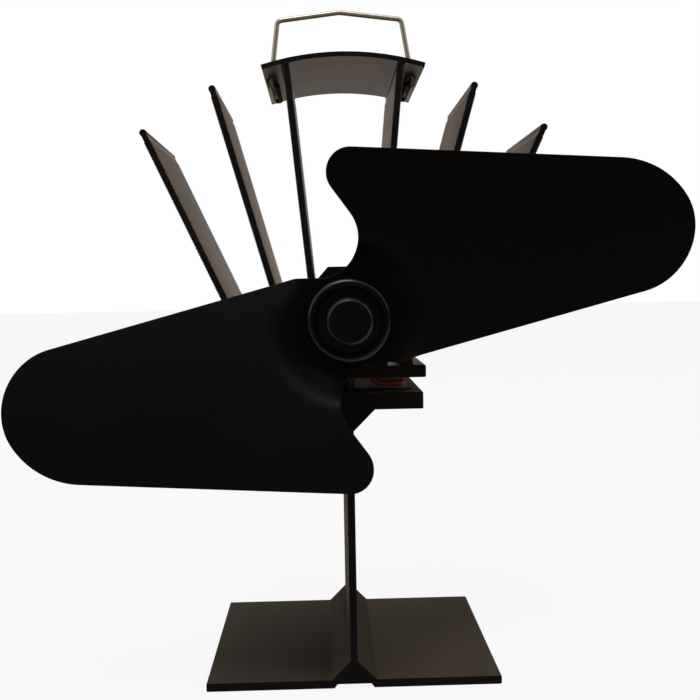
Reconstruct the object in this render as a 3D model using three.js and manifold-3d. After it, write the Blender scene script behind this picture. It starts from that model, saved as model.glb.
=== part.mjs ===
// A heat-powered stove fan: a pressed two-paddle blade on a small motor, which sits in the ring of a
// finned aluminium extrusion. A thermoelectric module, clamped between that extrusion and the ledge
// of an I-shaped stand, makes the current. Millimetres, +X to the viewer's right, +Y away, +Z up.
// While it is drawn, y = 0 is the front face that the stand and the heat sink share.
import * as THREE from 'three';
import { mergeVertices } from 'three/addons/utils/BufferGeometryUtils.js';
import Module from 'manifold-3d';

const wasm = await Module();
wasm.setup();

// Clearances and overruns that the whole assembly shares
const seatGap = 0.3; // between a turned or bored face and the piece that fits it
const runningGap = 0.05; // round the spinning shaft in its bushes
const facePlay = 0.1; // between flat faces that slide on each other
const overrun = 2; // how far a cutter passes the face that it opens
const fineRound = 36; // sides of a large round
const plainRound = 20; // sides of a small round
const bendSides = 12; // steps of a wide arc
const filletSides = 6; // steps of a fillet
const cornerSides = 4; // steps of a rounded corner
const hexagonSides = 6;

// Stand: one extrusion, a foot plate, a web and a ledge
const baseWidth = 100;
const baseDepth = 86;
const plateThick = 2.9;
const webThick = 2.5;
const ledgeWidth = 49.2;
const ledgeThick = 5.7;
const ledgeTop = 100.25;
const footGusset = 6.4; // 45 degree gusset from the foot plate to the web
const ledgeGusset = 7.2; // the same under the ledge
const edgeRound = 0.45; // extruded outer corners
const grooveMouth = 13.6; // groove under the foot plate for the bimetal strip
const grooveCeiling = 11.4;

// Thermoelectric module and its sheets
const moduleSide = 40;
const ceramicThick = 0.7;
const pelletHigh = 2.6;
const pelletGap = 0.5; // between the pellets' block and the seal
const sealWide = 1;
const sheetMargin = 1.3; // of each sheet, past the module
const sheetThick = 0.4;
const sheetSetback = 9.6; // from the front face to the sheets

// Heat sink extrusion
const sinkRearMargin = 10; // behind the sheets, for the rear clamp screw
const sinkPlateWidth = 51.2;
const sinkPlateThick = 4.1;
const ringWall = 3.7;
const ringTopWall = 4.8; // between the bore and the flat on top of the ring
const ringTopWide = 12.6;
const ringShoulderShare = 2 / 3; // height where the chamfer runs out on the ring, of its radius
const channelRise = 2.75; // floor of the lead channel above the sink plate
const channelDrop = 0.4; // of that floor below the motor's bore
const channelMargin = 0.8; // beside the leads
const channelWall = 3.4;
const finThick = 1.86;
const ribPitch = 8; // between the main ribs on a fin's faces, every tenth of the die's fine ones
const ribWide = 0.6;
const ribHigh = 0.17;
const finBulb = 2.4; // rounded bead along each free fin's tip
const innerTrunk = 16.35; // inner face of the trunk that feeds the inner and outer fin
const trunkWide = 4.9;
const armHigh = 6.85; // middle of the outer fin's arm, above the sink plate's top
const armBend = 8;
const finDatumRise = 10.85; // above the sink plate, where the three fin offsets are taken
const middleFin = { offset: 10.25, slope: 0.095 };
const innerFin = { offset: 20.08, slope: 0.282, belowArch: 10.25 };
const outerFin = { offset: 34.94, slope: 0.459, belowArch: 24 };
const rootFillet = 1;

// Arch across the two middle fins
const archRise = 86.9; // top of the arch above the motor axis
const archRadius = 92.9;
const archThick = 1.6;
const archTab = 7.89; // how far the arch passes the middle of each middle fin

// Carrying handle: one bent spring wire
const wireThick = 1.7;
const wireSides = 8;
const handleSetback = 18; // plane of the handle behind the front face
const tabHoleInset = 3; // from the tab's end to the middle of its hole
const handlePlay = 0.5; // round the wire in its tab holes
const handleShift = 0.2; // to the left, within that play
const handleLean = 0.5; // of the peak, to the left of the holes
const handleTaper = 2.75; // how far each leg leans in on its way up
const handleShoulderRise = 14.6; // above the arch's top
const handlePeakRise = 17.25;
const handleBend = 1.8;
const bendTurn = 22.5; // degrees of a bend between two of its rings
const hookDrop = 1.9; // middle of the hook below the arch's underside
const hookInboard = 1.55; // the hook's inner run, inside the leg
const hookStep = 2.9; // how far behind the leg that run starts
const hookReach = 31.5; // furthest point of the hairpin behind the legs
const hookEnd = 4.5; // free end of the wire, behind the legs
const hookPitch = 2.4; // between the hairpin's two runs
const hookBendShare = 0.45; // radius of the hairpin, of that distance

// Clamp screws, their washers and insulating bushes
const screwThread = 4;
const screwHead = 7;
const screwHeadHigh = 2.6;
const screwSocket = 3;
const socketDeepShare = 0.55;
const washerThick = 0.5;
const washerCone = 0.4;
const bushFlange = 0.8;
const bushWall = 0.5;
const threadInLedge = 8;
const driverHole = 8;

// Motor
const motorRadius = 12.2;
const motorLength = 25;
const motorSetback = 1;
const canWall = 0.6;
const capLength = 1.8;
const capInset = 1; // edge of the cap inside the can's outline
const bossWall = 0.6;
const bossLength = 1.5;
const rearBossLength = 0.9;
const shaftRadius = 1;
const frontBushLength = 4.2;
const rearBushLength = 2.4;
const bushRadius = 2.3;
const magnetThick = 2.4;
const magnetLength = 15;
const armatureGap = 1.7; // between the magnet and the armature
const armatureLength = 11;
const armatureSlot = 1.6;
const commutatorRadius = 2.4;
const commutatorLength = 3.6;
const terminalThick = 0.5;
const terminalWide = 2.6;
const terminalLong = 4.4;
const grubRadius = 1.5;
const grubSetback = 18;
const grubLong = 4;

// Leads from the module to the motor
const leadThick = 1.8;
const leadSides = 8;
const leadAcrossShare = 0.6475; // each lead's distance from the middle, of the motor's radius
const leadSlotWide = 3.6;
const leadSlotLong = 5.2;
const leadSlotSetback = 7.2; // middle of the slot
const slotRoundShare = 0.48; // corner radius of the slot, of its width
const leadExitInset = 1.6; // from the module's side
const leadBend = 3.6;
const leadStep = 1.35; // between two rings of a lead

// Blade hub
const flangeRadius = 13.3;
const flangeThick = 3.6;
const rimWide = 3;
const rimSides = 5; // steps over the rim's round
const recessDeep = 1.3;
const hubBossRadius = 7.1;
const hubBossLong = 9.6; // boss in front of the flange
const bossChamfer = 0.7;
const spigotRadius = 5;
const spigotLong = 6.6; // spigot behind the blade
const backingRadius = 10;
const backingThick = 1.5;
const hubScrewRadius = 1.5;
const hubScrewLong = 4.6;

// Blade: one pressed sheet, drawn in the front view about the motor axis
const bladePlane = 13; // middle of the sheet at the hub, in front of the front face
const bladeThick = 1;
const tipReach = 112.8; // from the axis to the furthest point of a paddle's tip
const leadEdgeOffset = 17.4; // straight leading edge, distance from the axis
const leadEdgeAngle = 15; // degrees
const trailEdgeOffset = 52.15;
const trailEdgeAngle = -2.6;
const tipSmallShare = 1.073; // the tip's two radii, of half the paddle's width at its tip
const tipBigShare = 1.675;
const lobeRadius = 7.2;
const lobeOverhang = 6.5; // how far the root lobe passes the axis
const notchAngle = 53;
const notchRadius = 12.2;
const waistShare = 0.75; // half height of the waist beside the hub, of the lead edge's at the axis
const waistBend = 4; // radius where the waist meets the lead edge
const paddlePitch = 18;
const paddleAxisAngle = 8;
const twistLeanShare = 0.35;
const twistRun = 16; // length over which the sheet turns from flat into a paddle
const twistStart = 17; // radius of the flat middle
const twistBlend = 10;
const sheetCell = 3; // grid of the pressed sheet where it bends, along the paddles
const sheetRow = 4; // the same across them
const sheetFineHalf = 33; // half the length that bends

// Bimetal safety strip under the foot plate
const stripLong = 60;
const stripMargin = 0.7; // beside the strip at the groove's ceiling
const stripThick = 0.6;
const stripCorner = 2;
const stripPlay = 0.15; // between the strip and the groove's ceiling
const stripSetback = 2;
const rivetFromEnd = 5;
const rivetRadius = 1.2;
const rivetHeadRadius = 2.4;
const rivetHeadHigh = 0.4;
const rivetHeadSunk = 0.15; // below the foot plate's underside
const rivetLong = 4.6;

// Heights, in the order in which the pieces stand on each other
const lowerCeramicBottom = ledgeTop + sheetThick;
const pelletBottom = lowerCeramicBottom + ceramicThick;
const upperCeramicBottom = pelletBottom + pelletHigh;
const upperSheetBottom = upperCeramicBottom + ceramicThick;
const sinkBottom = upperSheetBottom + sheetThick;
const sinkPlateTop = sinkBottom + sinkPlateThick;
const finDatum = sinkPlateTop + finDatumRise;
const channelFloorHigh = sinkPlateTop + channelRise;
const clampSeat = channelFloorHigh - screwHeadHigh - washerThick - washerCone - bushFlange;
const boreRadius = motorRadius + seatGap;
const motorAxisHigh = channelFloorHigh + channelDrop + boreRadius;
const ringRadius = boreRadius + ringWall;
const ringTop = motorAxisHigh + boreRadius + ringTopWall;
const ringShoulder = ringRadius * ringShoulderShare;
const terminalHigh = motorAxisHigh - motorRadius / 2;
const archTop = motorAxisHigh + archRise;
const archCentre = archTop - archRadius;
const handleShoulderHigh = archTop + handleShoulderRise;
const handlePeakHigh = archTop + handlePeakRise;
const grooveDeep = rivetHeadSunk + rivetHeadHigh + facePlay + stripThick + stripPlay;
const stripTop = grooveDeep - stripPlay;
const rivetHeadTop = stripTop - stripThick - facePlay;

// Widths
const pelletSide = moduleSide - 2 * sealWide - 2 * pelletGap;
const sheetSide = moduleSide + 2 * sheetMargin;
const leadExit = moduleSide / 2 - leadExitInset;
const leadAcross = motorRadius * leadAcrossShare;
const channelHalf = leadAcross + leadThick / 2 + channelMargin;
const pedestalHalf = channelHalf + channelWall;
const archHalf = middleFin.offset + middleFin.slope * (archTop - finDatum) + archTab;
const handleFoot = archHalf - tabHoleInset;
const handleShoulder = handleFoot - handleTaper;
const stripWide = grooveCeiling - 2 * stripMargin;
const magnetRadius = motorRadius - canWall - facePlay;
const armatureRadius = magnetRadius - magnetThick - armatureGap;
const bossRadius = bushRadius + facePlay + bossWall;

// Depths, from the front face
const moduleMiddle = sheetSetback + sheetSide / 2;
const sinkDepth = sheetSetback + sheetSide + sinkRearMargin;
const frontScrewY = (sheetSetback + rootFillet) / 2;
const rearScrewY = sinkDepth - sinkRearMargin / 2;
const motorRear = motorSetback + motorLength;
const magnetFront = motorSetback + canWall + (motorLength - magnetLength) / 3;
const armatureFront = magnetFront + (magnetLength - armatureLength) / 2;
const capRear = motorRear + capLength;
const bossRear = capRear + rearBossLength;
const bladeFront = -bladePlane - bladeThick / 2;
const bladeBack = -bladePlane + bladeThick / 2;
const flangeFront = bladeFront - flangeThick;
const hubNose = flangeFront - hubBossLong;
const hubScrewY = flangeFront - hubBossLong / 3;
const rivetY = stripSetback + stripLong - rivetFromEnd;
const degree = Math.PI / 180;

// Finishes
const finish = (color, roughness, metalness) => (
  new THREE.MeshStandardMaterial({ color, roughness, metalness })
);
const blackAnodised = finish(0x17130f, 0.45, 0.6);
const blackPaint = finish(0x0b0907, 0.4, 0.1);
const brightWire = finish(0xb9b4a6, 0.25, 1);
const zincSteel = finish(0xa8a9a6, 0.35, 0.9);
const blackSteel = finish(0x1d1c1b, 0.5, 0.8);
const ceramicWhite = finish(0xd8d2c4, 0.6, 0);
const pelletGrey = finish(0x4d4b4a, 0.5, 0.5);
const sealGrey = finish(0xc9c4b8, 0.7, 0);
const graphite = finish(0x232323, 0.7, 0.1);
const fibreBrown = finish(0x6e2f1a, 0.8, 0);
const motorSteel = finish(0x9b9c9e, 0.35, 0.9);
const capPlastic = finish(0x1a1a1c, 0.6, 0);
const bronze = finish(0x9a7440, 0.5, 0.8);
const magnetFerrite = finish(0x3a3836, 0.7, 0.2);
const copperWound = finish(0x9c4f26, 0.4, 0.8);
const brass = finish(0xb08a42, 0.35, 0.9);
const redSilicone = finish(0xb0201c, 0.5, 0);
const blackSilicone = finish(0x141414, 0.5, 0);
const bimetal = finish(0x8b8479, 0.4, 0.9);

// A closed mesh with shared corners, faces out, from any closed geometry
function weld(geometry) {
  const bare = geometry.index ? geometry.toNonIndexed() : geometry.clone();
  bare.deleteAttribute('normal');
  bare.deleteAttribute('uv');
  const welded = mergeVertices(bare, 1e-4);
  const corners = welded.index.array;
  const at = (i) => new THREE.Vector3().fromBufferAttribute(welded.attributes.position, i);
  const kept = [];
  let volume = 0;
  for (let i = 0; i < corners.length; i += 3) {
    const [a, b, c] = [corners[i], corners[i + 1], corners[i + 2]];
    if (a === b || b === c || c === a) continue;
    kept.push([a, b, c]);
    volume += at(a).dot(at(b).cross(at(c)));
  }
  welded.setIndex(kept.flatMap(([a, b, c]) => (volume > 0 ? [a, b, c] : [a, c, b])));
  return welded;
}

// Geometry to solid and back, for cuts and joins
function solid(geometry) {
  const closed = weld(geometry);
  const mesh = new wasm.Mesh({
    numProp: 3,
    vertProperties: new Float32Array(closed.attributes.position.array),
    triVerts: new Uint32Array(closed.index.array),
  });
  return new wasm.Manifold(mesh);
}

function surface(body) {
  const mesh = body.getMesh();
  const geometry = new THREE.BufferGeometry();
  geometry.setAttribute('position', new THREE.BufferAttribute(mesh.vertProperties, mesh.numProp));
  geometry.setIndex(new THREE.BufferAttribute(mesh.triVerts, 1));
  return geometry;
}

const join = (first, ...others) => others.reduce((sum, body) => sum.add(body), first);
const cut = (first, ...others) => others.reduce((left, body) => left.subtract(body), first);

// An outline in the front view (x, z), carried from one depth to another
function extruded(outline, front, back, arcSides = bendSides) {
  const options = { depth: back - front, bevelEnabled: false, curveSegments: arcSides / 2 };
  const geometry = new THREE.ExtrudeGeometry(outline, options);
  geometry.rotateX(Math.PI / 2);
  geometry.translate(0, back, 0);
  return solid(geometry);
}

// An outline in plan (x, y), carried upwards from a height
function upright(outline, bottom, top, arcSides = cornerSides) {
  const options = { depth: top - bottom, bevelEnabled: false, curveSegments: arcSides / 2 };
  const geometry = new THREE.ExtrudeGeometry(outline, options);
  geometry.translate(0, 0, bottom);
  return solid(geometry);
}

function polygon(points) {
  return new THREE.Shape(points.map(([x, y]) => new THREE.Vector2(x, y)));
}

function rectangle(left, right, low, high) {
  return polygon([[left, low], [right, low], [right, high], [left, high]]);
}

function disc(x, y, radius) {
  return new THREE.Shape().absarc(x, y, radius, 0, 2 * Math.PI, false);
}

// A rectangle with rounded corners
function rounded(left, right, low, high, radius) {
  const outline = new THREE.Shape();
  outline.absarc(right - radius, low + radius, radius, -Math.PI / 2, 0, false);
  outline.absarc(right - radius, high - radius, radius, 0, Math.PI / 2, false);
  outline.absarc(left + radius, high - radius, radius, Math.PI / 2, Math.PI, false);
  outline.absarc(left + radius, low + radius, radius, Math.PI, 1.5 * Math.PI, false);
  return outline;
}

// The concave fillet in a corner at (x, z), run a little into both walls; sideX and sideZ point
// into the open quarter
function fillet(x, z, radius, sideX, sideZ) {
  const bite = radius / 4;
  const start = (-sideZ * Math.PI) / 2;
  const end = sideX > 0 ? Math.PI : 0;
  const outline = new THREE.Shape();
  outline.moveTo(x - sideX * bite, z - sideZ * bite);
  outline.lineTo(x + sideX * radius, z - sideZ * bite);
  outline.absarc(x + sideX * radius, z + sideZ * radius, radius, start, end, sideX * sideZ > 0);
  outline.lineTo(x - sideX * bite, z + sideZ * radius);
  return outline;
}

// A revolved profile of [radius, height] pairs that closes on itself or on the axis
function turned(profile, sides = plainRound) {
  const points = profile.map(([radius, height]) => new THREE.Vector2(radius, height));
  if (profile[0][0] > 0 || profile.at(-1)[0] > 0) points.push(points[0].clone());
  return new THREE.LatheGeometry(points, sides);
}

// A revolved piece that stands upright at (x, y), or lies along the motor's axis
function turnedUpright(profile, x, y, sides = plainRound) {
  return solid(turned(profile, sides).rotateX(Math.PI / 2).translate(x, y, 0));
}

function turnedOnAxis(profile, sides = fineRound) {
  return solid(turned(profile, sides).translate(0, 0, motorAxisHigh));
}

function uprightDrill(x, y, radius, bottom, top, sides = plainRound) {
  return turnedUpright([[0, bottom], [radius, bottom], [radius, top], [0, top]], x, y, sides);
}

// A hexagon socket cutter, sunk from a height downwards
function socketCutter(x, y, acrossFlats, top, deep) {
  const points = [];
  const radius = acrossFlats / 2 / Math.cos(Math.PI / hexagonSides);
  for (let side = 0; side < hexagonSides; side += 1) {
    const turn = (2 * Math.PI * side) / hexagonSides;
    points.push([x + radius * Math.cos(turn), y + radius * Math.sin(turn)]);
  }
  return upright(polygon(points), top - deep, top + overrun);
}

// A round wire along a curve
function wire(curve, thickness, sides, steps) {
  const section = disc(0, 0, thickness / 2);
  const options = { steps, extrudePath: curve, bevelEnabled: false, curveSegments: sides / 2 };
  return weld(new THREE.ExtrudeGeometry(section, options));
}

// A path from point to point that an extrusion follows with one ring at each point
class RingPath extends THREE.Curve {
  constructor(points) {
    super();
    this.points = points;
    this.last = points.length - 1;
  }

  getUtoTmapping(share) {
    return share;
  }

  getPoint(share) {
    const place = share * this.last;
    const i = Math.min(Math.floor(place), this.last - 1);
    return this.points[i].clone().lerp(this.points[i + 1], place - i);
  }

  getTangent(share) {
    const i = Math.round(share * this.last);
    const step = (from) => this.points[from + 1].clone().sub(this.points[from]).normalize();
    return step(Math.max(i - 1, 0)).add(step(Math.min(i, this.last - 1))).normalize();
  }
}

// The path of a wire that runs straight between corners and bends round each of them
function bentPath(corners) {
  const line = [corners[0].at];
  for (let i = 1; i < corners.length - 1; i += 1) {
    const { at, bend } = corners[i];
    const back = corners[i - 1].at.clone().sub(at).normalize();
    const ahead = corners[i + 1].at.clone().sub(at).normalize();
    const turn = Math.PI - back.angleTo(ahead);
    const inward = back.clone().add(ahead).normalize();
    const centre = at.clone().addScaledVector(inward, bend / Math.cos(turn / 2));
    const arm = at.clone().addScaledVector(back, bend * Math.tan(turn / 2)).sub(centre);
    const axis = ahead.clone().cross(back).normalize();
    const steps = Math.ceil(turn / (bendTurn * degree));
    for (let step = 0; step <= steps; step += 1) {
      line.push(arm.clone().applyAxisAngle(axis, (turn * step) / steps).add(centre));
    }
  }
  line.push(corners.at(-1).at);
  return new RingPath(line);
}

// Stand: the foot plate, web and ledge are one extrusion, with the strip's groove below
function standSolid() {
  const half = baseWidth / 2;
  const web = webThick / 2;
  const ledge = ledgeWidth / 2;
  const ledgeBottom = ledgeTop - ledgeThick;
  const plateOutline = rounded(-half, half, 0, plateThick, edgeRound);
  const plate = extruded(plateOutline, 0, baseDepth, cornerSides);
  const shelfOutline = rounded(-ledge, ledge, ledgeBottom, ledgeTop, edgeRound);
  const shelf = extruded(shelfOutline, 0, baseDepth, cornerSides);
  const middle = plateThick / 2;
  const column = extruded(polygon([
    [-web - footGusset, plateThick],
    [-web - footGusset, middle],
    [web + footGusset, middle],
    [web + footGusset, plateThick],
    [web, plateThick + footGusset],
    [web, ledgeBottom - ledgeGusset],
    [web + ledgeGusset, ledgeBottom],
    [web + ledgeGusset, ledgeBottom + middle],
    [-web - ledgeGusset, ledgeBottom + middle],
    [-web - ledgeGusset, ledgeBottom],
    [-web, ledgeBottom - ledgeGusset],
    [-web, plateThick + footGusset],
  ]), 0, baseDepth);
  const slope = (grooveMouth - grooveCeiling) / 2 / grooveDeep;
  const mouth = grooveMouth / 2 + slope * overrun;
  const groove = extruded(polygon([
    [-mouth, -overrun],
    [mouth, -overrun],
    [grooveCeiling / 2, grooveDeep],
    [-grooveCeiling / 2, grooveDeep],
  ]), -overrun, baseDepth + overrun);
  const tapped = [frontScrewY, rearScrewY].map((y) => {
    const bottom = ledgeTop - threadInLedge - seatGap;
    return uprightDrill(0, y, screwThread / 2 + seatGap, bottom, ledgeTop + overrun);
  });
  const rivetTop = rivetHeadTop + rivetLong + seatGap;
  const rivetHole = uprightDrill(0, rivetY, rivetRadius + seatGap, -overrun, rivetTop);
  return surface(cut(join(plate, shelf, column), groove, ...tapped, rivetHole));
}

// Bimetal strip: it lies in the groove and bends down off its rivet when the foot plate gets hot
function stripSolid() {
  const left = -stripWide / 2;
  const outline = rounded(left, -left, stripSetback, stripSetback + stripLong, stripCorner);
  const strip = upright(outline, stripTop - stripThick, stripTop);
  const hole = uprightDrill(0, rivetY, rivetRadius + seatGap, -overrun, plateThick);
  return surface(cut(strip, hole));
}

// Rivet: a flat head below the strip and a shank driven up into the foot plate and web
function rivetSolid() {
  const top = rivetHeadTop;
  return surface(turnedUpright([
    [0, top - rivetHeadHigh],
    [rivetHeadRadius - edgeRound, top - rivetHeadHigh],
    [rivetHeadRadius, top],
    [rivetRadius, top],
    [rivetRadius, top + rivetLong],
    [0, top + rivetLong],
  ], 0, rivetY));
}

// Flat square pieces of the thermoelectric stack
function stackSquare(side, bottom, thick) {
  const half = side / 2;
  const outline = rectangle(-half, half, moduleMiddle - half, moduleMiddle + half);
  return upright(outline, bottom, bottom + thick);
}

// Silicone seal round the module's edge, between its two ceramic plates
function sealSolid() {
  const outer = stackSquare(moduleSide, pelletBottom, pelletHigh);
  const inner = stackSquare(moduleSide - 2 * sealWide, pelletBottom - overrun, pelletHigh + 2 * overrun);
  return surface(cut(outer, inner));
}

// Centre of a fin's thickness at a height, and the height of a free fin's bead
const finAt = (fin, height) => fin.offset + fin.slope * (height - finDatum);
const tipOf = (fin) => archTop - fin.belowArch - finBulb / 2;

// Draw on along a fin's straight face, with its main ribs; the open air lies on the right of the way
function ribbedTo(outline, to) {
  const from = outline.currentPoint.clone();
  const length = to.distanceTo(from);
  const along = to.clone().sub(from).divideScalar(length);
  const out = new THREE.Vector2(along.y, -along.x);
  const count = Math.floor(length / ribPitch);
  const first = (length - (count - 1) * ribPitch) / 2;
  for (let rib = 0; rib < count; rib += 1) {
    const root = from.clone().addScaledVector(along, first + rib * ribPitch - ribWide / 2);
    const crest = root.clone().addScaledVector(along, ribWide / 2).addScaledVector(out, ribHigh);
    outline.lineTo(root.x, root.y);
    outline.lineTo(crest.x, crest.y);
    outline.lineTo(root.x + along.x * ribWide, root.y + along.y * ribWide);
  }
  outline.lineTo(to.x, to.y);
}

// A straight fin on the right-hand side, from a foot height to its rounded tip
function finOutline(fin, footHigh, tipHigh) {
  const foot = new THREE.Vector2(finAt(fin, footHigh), footHigh);
  const tip = new THREE.Vector2(finAt(fin, tipHigh), tipHigh);
  const along = tip.clone().sub(foot).normalize();
  const side = new THREE.Vector2(along.y, -along.x).multiplyScalar(finThick / 2);
  const turn = Math.atan2(along.y, along.x);
  const outline = new THREE.Shape();
  outline.moveTo(foot.x + side.x, foot.y + side.y);
  ribbedTo(outline, tip.clone().add(side));
  outline.absarc(tip.x, tip.y, finThick / 2, turn - Math.PI / 2, turn + Math.PI / 2, false);
  ribbedTo(outline, foot.clone().sub(side));
  return outline;
}

// The bead along a free fin's tip
function tipBead(fin) {
  const high = tipOf(fin);
  return extruded(disc(finAt(fin, high), high, finBulb / 2), 0, sinkDepth, bendSides);
}

// The outer fin's arm leaves the trunk level, then bends up into the fin
function outerFinOutline() {
  const half = finThick / 2;
  const level = sinkPlateTop + armHigh;
  const rise = Math.atan2(1, outerFin.slope);
  const bendHigh = level + armBend;
  const bendX = finAt(outerFin, bendHigh - armBend * Math.cos(rise)) - armBend * Math.sin(rise);
  const tip = new THREE.Vector2(finAt(outerFin, tipOf(outerFin)), tipOf(outerFin));
  const side = new THREE.Vector2(Math.sin(rise), -Math.cos(rise));
  const inside = new THREE.Vector2(bendX, bendHigh).addScaledVector(side, armBend - half);
  const outline = new THREE.Shape();
  outline.moveTo(innerTrunk + half, level - half);
  outline.absarc(bendX, bendHigh, armBend + half, -Math.PI / 2, rise - Math.PI / 2, false);
  ribbedTo(outline, tip.clone().addScaledVector(side, half));
  outline.absarc(tip.x, tip.y, half, rise - Math.PI / 2, rise + Math.PI / 2, false);
  ribbedTo(outline, inside);
  outline.absarc(bendX, bendHigh, armBend - half, rise - Math.PI / 2, -Math.PI / 2, true);
  outline.lineTo(innerTrunk + half, level + half);
  return outline;
}

// Height of the arch's underside at a distance from the middle
const archUnder = (x) => archCentre + Math.sqrt((archRadius - archThick) ** 2 - x ** 2);

// Everything of the heat sink that stands twice, drawn on the right
function sinkSide() {
  const trunkRight = innerTrunk + trunkWide;
  const armTop = sinkPlateTop + armHigh + finThick / 2;
  const footLevel = sinkPlateTop - sinkPlateThick / 2;
  const trunk = polygon([
    [innerTrunk, footLevel],
    [trunkRight, footLevel],
    [trunkRight, armTop],
    [finAt(innerFin, armTop) - finThick / 2, armTop],
  ]);
  const middleFoot = motorAxisHigh + ringShoulder - finThick;
  const middleTop = archUnder(finAt(middleFin, archTop)) + archThick / 4;
  const inFace = finAt(middleFin, middleTop) - finThick / 2 - rootFillet;
  const outFace = finAt(middleFin, middleTop) + finThick / 2 + rootFillet;
  const outlines = [
    trunk,
    fillet(trunkRight, sinkPlateTop, rootFillet, 1, 1),
    fillet(trunkRight, armTop - finThick, rootFillet, 1, -1),
    outerFinOutline(),
    finOutline(innerFin, armTop - finThick, tipOf(innerFin)),
    finOutline(middleFin, middleFoot, middleTop),
    fillet(inFace + rootFillet, archUnder(inFace), rootFillet, -1, -1),
    fillet(outFace - rootFillet, archUnder(outFace), rootFillet, 1, -1),
  ];
  const bodies = outlines.map((outline) => extruded(outline, 0, sinkDepth, filletSides));
  return join(...bodies, tipBead(innerFin), tipBead(outerFin));
}

// The arch: a thin curved plate across the middle fins, with a tab past each
function archSolid() {
  const reach = Math.asin(archHalf / archRadius);
  const outline = new THREE.Shape();
  outline.absarc(0, archCentre, archRadius, Math.PI / 2 - reach, Math.PI / 2 + reach, false);
  outline.absarc(0, archCentre, archRadius - archThick, Math.PI / 2 + reach, Math.PI / 2 - reach, true);
  return extruded(outline, 0, sinkDepth);
}

// Cutters for a clamp screw: seat for its head, hole for its bush, and the way in for a driver
function screwCutters(y) {
  const bushHole = screwThread / 2 + bushWall + 2 * seatGap;
  return [
    uprightDrill(0, y, screwHead / 2 + seatGap, clampSeat, motorAxisHigh),
    uprightDrill(0, y, bushHole, sinkBottom - overrun, motorAxisHigh),
    uprightDrill(0, y, driverHole / 2, motorAxisHigh, ringTop + overrun),
  ];
}

// Cutter for a lead's slot, up through the sink plate into the channel
function leadSlotCutter(x) {
  const wide = leadSlotWide / 2;
  const long = leadSlotLong / 2;
  const [front, back] = [leadSlotSetback - long, leadSlotSetback + long];
  const slot = rounded(x - wide, x + wide, front, back, leadSlotWide * slotRoundShare);
  return upright(slot, sinkBottom - overrun, terminalHigh, filletSides);
}

// Heat sink: plate, pedestal, motor ring, six fins and the arch are one extrusion
function sinkSolid() {
  const half = sinkPlateWidth / 2;
  const footLevel = sinkPlateTop - sinkPlateThick / 2;
  const plateOutline = rounded(-half, half, sinkBottom, sinkPlateTop, edgeRound);
  const plate = extruded(plateOutline, 0, sinkDepth, cornerSides);
  const pedestalOutline = rectangle(-pedestalHalf, pedestalHalf, footLevel, motorAxisHigh);
  const pedestal = extruded(pedestalOutline, 0, sinkDepth);
  const ring = extruded(disc(0, motorAxisHigh, ringRadius), 0, sinkDepth, fineRound);
  const shoulder = Math.sqrt(ringRadius ** 2 - ringShoulder ** 2);
  const top = extruded(polygon([
    [-shoulder, motorAxisHigh + ringShoulder],
    [shoulder, motorAxisHigh + ringShoulder],
    [ringTopWide / 2, ringTop],
    [-ringTopWide / 2, ringTop],
  ]), 0, sinkDepth);
  const side = sinkSide();
  const body = join(plate, pedestal, ring, top, side, side.mirror([1, 0, 0]), archSolid());
  const through = [-overrun, sinkDepth + overrun];
  const bore = extruded(disc(0, motorAxisHigh, boreRadius), ...through, fineRound);
  const channelTop = motorAxisHigh - Math.sqrt(boreRadius ** 2 - channelHalf ** 2) + seatGap;
  const channelOutline = rectangle(-channelHalf, channelHalf, channelFloorHigh, channelTop);
  const cutters = [bore, extruded(channelOutline, ...through)];
  cutters.push(...screwCutters(frontScrewY), ...screwCutters(rearScrewY));
  cutters.push(uprightDrill(0, grubSetback, grubRadius + seatGap, motorAxisHigh, ringTop + overrun));
  const wireHole = wireThick / 2 + handlePlay;
  const tabUnder = archUnder(handleFoot) - overrun;
  for (const side of [-1, 1]) {
    const x = side * handleFoot;
    cutters.push(uprightDrill(x, handleSetback, wireHole, tabUnder, archTop + overrun));
    cutters.push(leadSlotCutter(side * leadAcross));
  }
  return surface(cut(body, ...cutters));
}

// Carrying handle: a shallow peak, two legs, and at each foot a hairpin that runs back under its tab
function handleSolid() {
  const tabMiddle = archUnder(handleFoot) + archThick / 2;
  const hookHigh = archUnder(handleFoot) - hookDrop;
  const splay = (handleFoot - handleShoulder) / (handleShoulderHigh - tabMiddle);
  const foot = handleFoot + splay * (tabMiddle - hookHigh);
  const inner = handleFoot - hookInboard;
  const outer = inner + hookPitch;
  const hookBend = hookPitch * hookBendShare;
  const leanAt = (z) => (handleLean * (z - hookHigh)) / (handlePeakHigh - hookHigh);
  const corner = (x, y, z, bend) => {
    const at = new THREE.Vector3(x - handleShift - leanAt(z), handleSetback + y, z);
    return { at, bend };
  };
  const leg = (side) => [
    corner(side * outer, hookEnd, hookHigh, hookBend),
    corner(side * outer, hookReach, hookHigh, hookBend),
    corner(side * inner, hookReach, hookHigh, hookBend),
    corner(side * inner, hookStep, hookHigh, handleBend),
    corner(side * foot, 0, hookHigh, handleBend),
    corner(side * handleShoulder, 0, handleShoulderHigh, handleBend),
  ];
  const peak = corner(0, 0, handlePeakHigh, handleBend);
  const path = bentPath([...leg(1), peak, ...leg(-1).reverse()]);
  return wire(path, wireThick, wireSides, path.last);
}

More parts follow.
